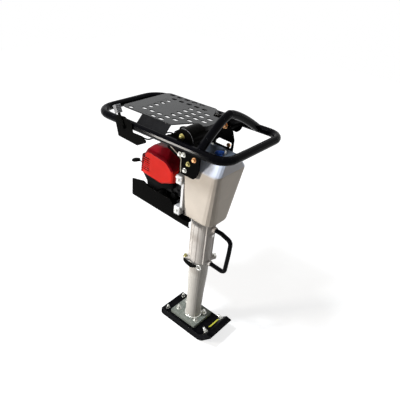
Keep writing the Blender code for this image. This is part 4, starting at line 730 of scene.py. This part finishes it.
# Guide: bolts through the collar's ears
EAR_TOP_S = 0.4192
EAR_BOLTS = (("near", -0.043, -0.056, "zinc"), ("far", 0.049, 0.049, "white_zinc"))
for hand, u, y, look in EAR_BOLTS:
    hex_bolt(f"collar_head_{hand}", facing(LEG, (u, y, EAR_TOP_S), (0, 0, 1)), look, "housing",
             across=0.0142, head=0.0085, washer=0.0093, thick=0.0020)

# Clutch housing: square cast lugs, each with a bolt in its rear and one in its side
LUG_REAR_U, LUG_FRONT_U, LUG_INNER_Y, LUG_OUTER_Y = -0.0995, -0.0665, 0.070, 0.1025
LUG_BOLT_Y, LUG_BOLT_U = 0.088, -0.083
LUG_ROUNDING, LUG_CHAMFER = 0.005, 0.0025
LUG_LEVELS = (("low", 0.664, 0.702), ("high", 0.818, 0.858))
for side, hand in ((-1, "near"), (1, "far")):
    for level, low, high in LUG_LEVELS:
        corners = [(LUG_REAR_U, side * LUG_INNER_Y), (LUG_FRONT_U, side * LUG_INNER_Y),
                   (LUG_FRONT_U, side * LUG_OUTER_Y), (LUG_REAR_U, side * LUG_OUTER_Y)]
        outline = round_corners(corners[::side], LUG_ROUNDING)
        moulding(f"lug_{level}_{hand}", outline, low, high, "cast", "housing", LUG_CHAMFER)
        middle = (low + high) / 2
        in_rear = facing(LEG, (LUG_REAR_U, side * LUG_BOLT_Y, middle), (-1, 0, 0))
        hex_bolt(f"lug_bolt_{level}_{hand}", in_rear, "white_zinc", "housing",
                 across=0.0125, head=0.007, washer=0.0100)
        in_side = facing(LEG, (LUG_BOLT_U, side * LUG_OUTER_Y, middle), (0, side, 0))
        hex_bolt(f"lug_side_{level}_{hand}", in_side, "white_zinc", "housing",
                 across=0.0100, head=0.005, washer=0.0078)

# Gear case: blue-grey cover on its top, held by screws, with a breather. The cover is darker than the
# casting: partly its own colour, partly painted shade and reflection of the handle on the case's top
COVER_LOW_S, COVER_TOP_S, COVER_CHAMFER = 0.9698, 0.9722, 0.0008
COVER_CORNERS = ((-0.055, -0.066), (0.094, -0.066), (0.094, 0.066), (-0.055, 0.066))
COVER_ROUNDING, COVER_ROUND_STEPS = 0.022, 6
COVER_SCREWS = ((-0.044, -0.054), (0.082, -0.054), (0.082, 0.054), (-0.044, 0.054))
BREATHER_PLACE = (0.046, 0.025, 0)
BREATHER_RINGS = ((0.9720, 0.0062, "o"), (0.9765, 0.0062, "o"), (0.9765, 0.0048, "h"), (0.9815, 0.0048, "h"),
                  (0.9825, 0.0036, "o"), (0.9870, 0.0036, "o"), (0.9878, 0.0028, "o"))
moulding("case_cover_and_shade", round_corners(COVER_CORNERS, COVER_ROUNDING, COVER_ROUND_STEPS), COVER_LOW_S,
         COVER_TOP_S, "cover_grey_and_shade", "housing", COVER_CHAMFER)
for k, (u, y) in enumerate(COVER_SCREWS):
    hex_bolt(f"cover_screw_{k}", facing(LEG, (u, y, COVER_TOP_S), (0, 0, 1)), "white_zinc", "housing",
             across=0.008, head=0.0042, washer=0.0062, thick=0.0010)
stack("case_breather", BREATHER_RINGS, LEG @ Matrix.Translation(BREATHER_PLACE), "white_zinc", "housing")

# Cream line along the edge of the near side plate, a painted highlight of that edge
PLATE_HIGHLIGHT_Y, PLATE_HIGHLIGHT_RADIUS = -0.1118, 0.0019
PLATE_HIGHLIGHT_ROUTE = ((-0.1400, 0.9830), (-0.1052, 0.9674), (-0.0716, 0.9493), (-0.0685, 0.9200),
                    (-0.0666, 0.8870))
wire("plate_edge_highlight", [(u, PLATE_HIGHLIGHT_Y, s) for u, s in PLATE_HIGHLIGHT_ROUTE], PLATE_HIGHLIGHT_RADIUS, "highlight_cream", "housing")

# Throttle cable: it runs between the engine, which is on the housing, and the lever's guard on the handle
control_cable.data.materials.append(LOOKS["rubber"])
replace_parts(control_cable, "throttle_cable")
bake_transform(control_cable)

# Platform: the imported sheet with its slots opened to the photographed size
SLOT_FIRST_X, SLOT_PITCH_X, SLOT_PITCH_Y = -0.1992, 0.0448, 0.0358
SLOT_COLUMNS, SLOT_ROWS = range(0, 8), range(-4, 4)
SLOT_REACH_X, SLOT_REACH_Y = 0.0113, 0.0058
SLOT_OPENING_X, SLOT_OPENING_Y = 1.36, 1.45
SHEET_LOW_Z = 0.037
tread_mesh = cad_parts["platform"].data.copy()
to_handle = HANDLE.inverted()
for vertex in tread_mesh.vertices:
    point = to_handle @ vertex.co
    column = round((point.x - SLOT_FIRST_X) / SLOT_PITCH_X)
    row = round(point.y / SLOT_PITCH_Y - 0.5)
    centre_x, centre_y = SLOT_FIRST_X + column * SLOT_PITCH_X, (row + 0.5) * SLOT_PITCH_Y
    beside_x, beside_y = point.x - centre_x, point.y - centre_y
    near_slot = abs(beside_x) < SLOT_REACH_X and abs(beside_y) < SLOT_REACH_Y and point.z > SHEET_LOW_Z
    if near_slot and column in SLOT_COLUMNS and row in SLOT_ROWS:
        point.x = centre_x + beside_x * SLOT_OPENING_X
        point.y = centre_y + beside_y * SLOT_OPENING_Y
        vertex.co = HANDLE @ point
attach(stand_in("tread", tread_mesh, "tread_black", "platform"), "handle")

# Engine: black lower shroud under the red cover
SHROUD_SECTIONS = ((-0.0925, 0.006), (-0.0885, 0.0), (0.0560, 0.0), (0.0600, 0.006))
shroud = []
for y, drawn in SHROUD_SECTIONS:
    side = [(-0.3170 + drawn, 0.7765), (-0.3170 + drawn, 0.7735), (-0.2962 + drawn, 0.7505),
            (-0.2873 + drawn, 0.7400), (-0.2820 + drawn, 0.7080 + drawn), (-0.2300, 0.6990 + drawn),
            (-0.1900, 0.7400 + drawn), (-0.1260 - drawn, 0.7650 + drawn), (-0.1260 - drawn, 0.7985),
            (-0.1900, 0.7700)]
    shroud.append([LEG @ Vector((u, y, s)) for u, s in side])
swept("lower_shroud", shroud, "black_plastic", "housing")

# Crankcase: an oil cap and four dark bolts on its near side
OIL_CAP_PLACE = (-0.1270, -0.0655, 0.7300)
OIL_CAP_RINGS = ((-0.0004, 0.0120, "o"), (0.0040, 0.0120, "o"), (0.0040, 0.0100, "o"), (0.0070, 0.0100, "o"),
                 (0.0078, 0.0150, "h"), (0.0150, 0.0150, "h"), (0.0165, 0.0130, "o"))
CRANKCASE_BOLT_Y = -0.0658
CRANKCASE_BOLTS = ((-0.1490, 0.7420), (-0.1130, 0.7560), (-0.1290, 0.7155), (-0.1040, 0.7060))
oil_cap = facing(LEG, OIL_CAP_PLACE, (0, -1, 0))
stack("engine_oil_cap", OIL_CAP_RINGS, oil_cap, "black_plastic", "housing")
for k, (u, s) in enumerate(CRANKCASE_BOLTS):
    place = facing(LEG, (u, CRANKCASE_BOLT_Y, s), (0, -1, 0))
    hex_bolt(f"crankcase_bolt_{k}", place, "dark_cast", "housing", across=0.011, head=0.007, washer=0.0085)

# Starter: moulded grip, thicker in its middle. Each section is its u, its drop below the rope, and half its
# width and height
GRIP_SIDES = 20
GRIP_SECTIONS = ((-0.3803, 0.000, 0.0042, 0.0042), (-0.3860, 0.000, 0.0075, 0.0065),
                 (-0.3920, 0.001, 0.0130, 0.0085), (-0.3990, 0.004, 0.0190, 0.0092),
                 (-0.4070, 0.007, 0.0200, 0.0090), (-0.4150, 0.009, 0.0185, 0.0085),
                 (-0.4215, 0.010, 0.0150, 0.0070), (-0.4250, 0.010, 0.0090, 0.0045))
grip = [oval(u, ROPE_Y, ROPE_Z - drop, width, height, GRIP_SIDES) for u, drop, width, height in GRIP_SECTIONS]
pull_grip = swept("pull_grip", grip, "rubber", "grip", SOFT_ANGLE)
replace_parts(pull_grip, "starter_grip")

# Starter rope: the straight stretch between the eye on the housing and the grip
pull_rope.data.materials.append(LOOKS["rubber"])
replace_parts(pull_rope, "starter_rope")
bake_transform(pull_rope)

# Ram springs: the imported springs copied in the spring steel look; the heights of their ends on the piston
# and on the foot are worked out but not used
to_leg = LEG.inverted()
for name, node, on_piston, on_foot in (("ram_spring_low", "lower_spring", max, min),
                                       ("ram_spring_high", "upper_spring", min, max)):
    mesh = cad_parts[node].data.copy()
    heights = [(to_leg @ vertex.co).z for vertex in mesh.vertices]
    spring = stand_in(name, mesh, "spring_steel", node)
    LEG @ Vector((0, 0, on_piston(heights)))
    LEG @ Vector((0, 0, on_foot(heights)))
    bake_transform(spring)

# Guide: bosses that take the carrying handle
BOSS_SIDES = 32
for level, s, rings in (
        ("high", 0.607, ((0.0540, 0.0150), (0.0700, 0.0150), (0.0735, 0.0138), (0.0740, 0.0112))),
        ("low", 0.408, ((0.0500, 0.0140), (0.0670, 0.0140), (0.0700, 0.0130), (0.0705, 0.0112)))):
    forwards = LEG @ Matrix.Translation((0, 0, s)) @ Matrix.Rotation(math.pi / 2, 4, "Y")
    stack(f"handle_boss_{level}", [(out, radius, "o") for out, radius in rings], forwards, "leg_silver",
          "housing", BOSS_SIDES)

# Collar: thick rubber strap from the near bolt to its ring. Each section is its u, y and s, then half its
# height and half its thickness
STRAP_SIDES = 16
STRAP_SECTIONS = ((-0.0410, -0.0705, 0.4120, 0.0040, 0.0030), (-0.0370, -0.0715, 0.4090, 0.0080, 0.0045),
                  (-0.0260, -0.0700, 0.4040, 0.0115, 0.0058), (-0.0120, -0.0675, 0.3995, 0.0135, 0.0062),
                  (0.0020, -0.0660, 0.3975, 0.0135, 0.0062), (0.0150, -0.0650, 0.3995, 0.0110, 0.0056),
                  (0.0260, -0.0640, 0.4025, 0.0080, 0.0048), (0.0340, -0.0625, 0.4045, 0.0042, 0.0032))
strap = [oval(u, y, s, thick, tall, STRAP_SIDES) for u, y, s, tall, thick in STRAP_SECTIONS]
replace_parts(swept("collar_strap", strap, "rubber", "housing", SOFT_ANGLE), "keeper_strap")

# Shoe: plain painted stripe on the toe's inner slope
STRIPE_ENDS_Y = (-0.0130, 0.0600)
STRIPE_SECTION = ((0.1010, 0.0453), (0.1130, 0.0566), (0.1126, 0.0570), (0.1006, 0.0457))
stripe = [[Vector((x, y, z)) for x, z in STRIPE_SECTION] for y in STRIPE_ENDS_Y]
swept("shoe_stripe", stripe, "yellow", "foot")

# Weld round the foot tube, and the ring on the collar's strap
WELD_RADIUS, WELD_THICK, WELD_S = 0.0420, 0.0040, 0.0285
torus("foot_weld", WELD_RADIUS, WELD_THICK, LEG @ Matrix.Translation((0, 0, WELD_S)), "white_zinc", "foot")
RING_RADIUS, RING_WIRE_RADIUS, RING_PLACE = 0.0125, 0.0031, (0.0445, -0.0600, 0.4045)
hanging = LEG @ Matrix.Translation(RING_PLACE) @ Matrix.Rotation(math.pi / 2, 4, "X")
collar_ring = torus("collar_ring", RING_RADIUS, RING_WIRE_RADIUS, hanging, "white_zinc", "housing")
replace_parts(collar_ring, "keeper_ring")

# Cowl: cooling ribs round its rear near corner, with a black sheet behind them that paints the shade in the
# recess between them
RIBS, RIB_LOW, RIB_PITCH, RIB_THICK = 7, 0.7790, 0.0122, 0.0050
RIB_END_STEP, RIB_REACH_STEP = 0.0020, 0.0008
RIB_ROUNDING, RIB_CHAMFER = 0.004, 0.0008
RECESS_RAISE, RECESS_CHAMFER = 0.002, 0.0005
for k in range(RIBS):
    low = RIB_LOW + RIB_PITCH * k
    end = -0.2440 - RIB_END_STEP * k
    reach = RIB_REACH_STEP * k
    outline = round_corners([(end, -0.0900), (end, -0.0988), (-0.3180 + reach, -0.0988),
                             (-0.3350 + reach, -0.0800), (-0.3350 + reach, -0.0620),
                             (-0.3080, -0.0620)][::-1], RIB_ROUNDING)
    moulding(f"cowl_rib_{k}", outline, low, low + RIB_THICK, "red", "housing", RIB_CHAMFER)
# Black sheet behind the ribs: painted shade in the recess
outline = round_corners([(-0.2560, -0.0900), (-0.2560, -0.0945), (-0.3150, -0.0945), (-0.3240, -0.0800),
                         (-0.3260, -0.0640), (-0.3080, -0.0640)][::-1], RIB_ROUNDING)
moulding("louvre_recess_shade", outline, RIB_LOW + RECESS_RAISE, RIB_LOW + RIB_PITCH * (RIBS - 1) + RECESS_RAISE,
         "black_plastic", "housing", RECESS_CHAMFER)

# Gear case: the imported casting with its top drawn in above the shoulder
SHOULDER_S, TOP_S, DRAWN_IN, INNER_Y = 0.9250, 0.9700, 0.0130, 0.060
case_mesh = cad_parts["gear_case"].data.copy()
for vertex in case_mesh.vertices:
    point = to_leg @ vertex.co
    if point.z > SHOULDER_S and abs(point.y) > INNER_Y:
        point.y -= math.copysign(DRAWN_IN * (point.z - SHOULDER_S) / (TOP_S - SHOULDER_S), point.y)
        vertex.co = LEG @ point
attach(stand_in("case_casting", case_mesh, "silver", "gear_case"), "housing")

# Gear case: winged plug in the oil filler. Each section of the wing is its place, half width, foot and top
PLUG_PLACE = (0.038, -0.002, 0.0)
WING_TURN = 0.7
WING_SECTIONS = ((-0.0200, 0.0020, 0.9800, 0.9860), (-0.0180, 0.0030, 0.9780, 0.9885),
                 (-0.0080, 0.0036, 0.9765, 0.9900), (0.0080, 0.0036, 0.9765, 0.9900),
                 (0.0180, 0.0030, 0.9780, 0.9885), (0.0200, 0.0020, 0.9800, 0.9860))
plug = LEG @ Matrix.Translation(PLUG_PLACE)
plug_rings = [(0.9705, 0.0145, "o"), (0.9745, 0.0145, "o"), (0.9755, 0.0138, "o"), (0.9758, 0.0115, "h"),
              (0.9835, 0.0115, "h"), (0.9850, 0.0100, "o")]
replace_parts(stack("filler_plug", plug_rings, plug, "blue", "housing"), "oil_filler_plug")
wing = [[plug @ Vector(((along - side) * WING_TURN, (along + side) * WING_TURN, s))
         for side, s in ((-half, low), (half, low), (half, high), (-half, high))]
        for along, half, low, high in WING_SECTIONS]
swept("filler_wing", wing, "blue", "housing")

# Far side plate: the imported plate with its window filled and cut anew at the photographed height
PLATE_INNER_Y, PLATE_SKIN = 0.1040, 0.0002
CUT_INNER_Y, CUT_OUTER_Y = 0.09, 0.12
OLD_WINDOW = ((-0.067, 0.978), (0.007, 0.978), (0.007, 1.013), (-0.041, 1.013))
NEW_WINDOW = ((-0.078, 0.957), (0.014, 0.957), (0.018, 0.986), (-0.052, 0.986))
WINDOW_ROUNDING = 0.005


def slab(outline, low, high):
    """Solid between two widths, for changing the plate; it isn't kept."""
    bm = bmesh.new()
    skin(bm, [[bm.verts.new(LEG @ Vector((u, y, s))) for u, s in outline] for y in (low, high)])
    bmesh.ops.recalc_face_normals(bm, faces=bm.faces)
    return add_object("slab", written("slab", bm))


blank = add_object("blank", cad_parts["side_plate_far"].data.copy())
filling = slab(OLD_WINDOW, PLATE_INNER_Y + PLATE_SKIN, PLATE_FACE_Y - PLATE_SKIN)
window = slab(round_corners(NEW_WINDOW, WINDOW_ROUNDING), CUT_INNER_Y, CUT_OUTER_Y)
for tool, operation in ((filling, "UNION"), (window, "DIFFERENCE")):
    change = blank.modifiers.new(operation, "BOOLEAN")
    change.operation = operation
    change.solver = "EXACT"
    change.object = tool
bpy.context.view_layer.update()
cut_mesh = bpy.data.meshes.new_from_object(blank.evaluated_get(bpy.context.evaluated_depsgraph_get()))
for helper in (blank, filling, window):
    bpy.data.objects.remove(helper)
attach(stand_in("far_plate", cut_mesh, "satin_black", "side_plate_far"), "housing")
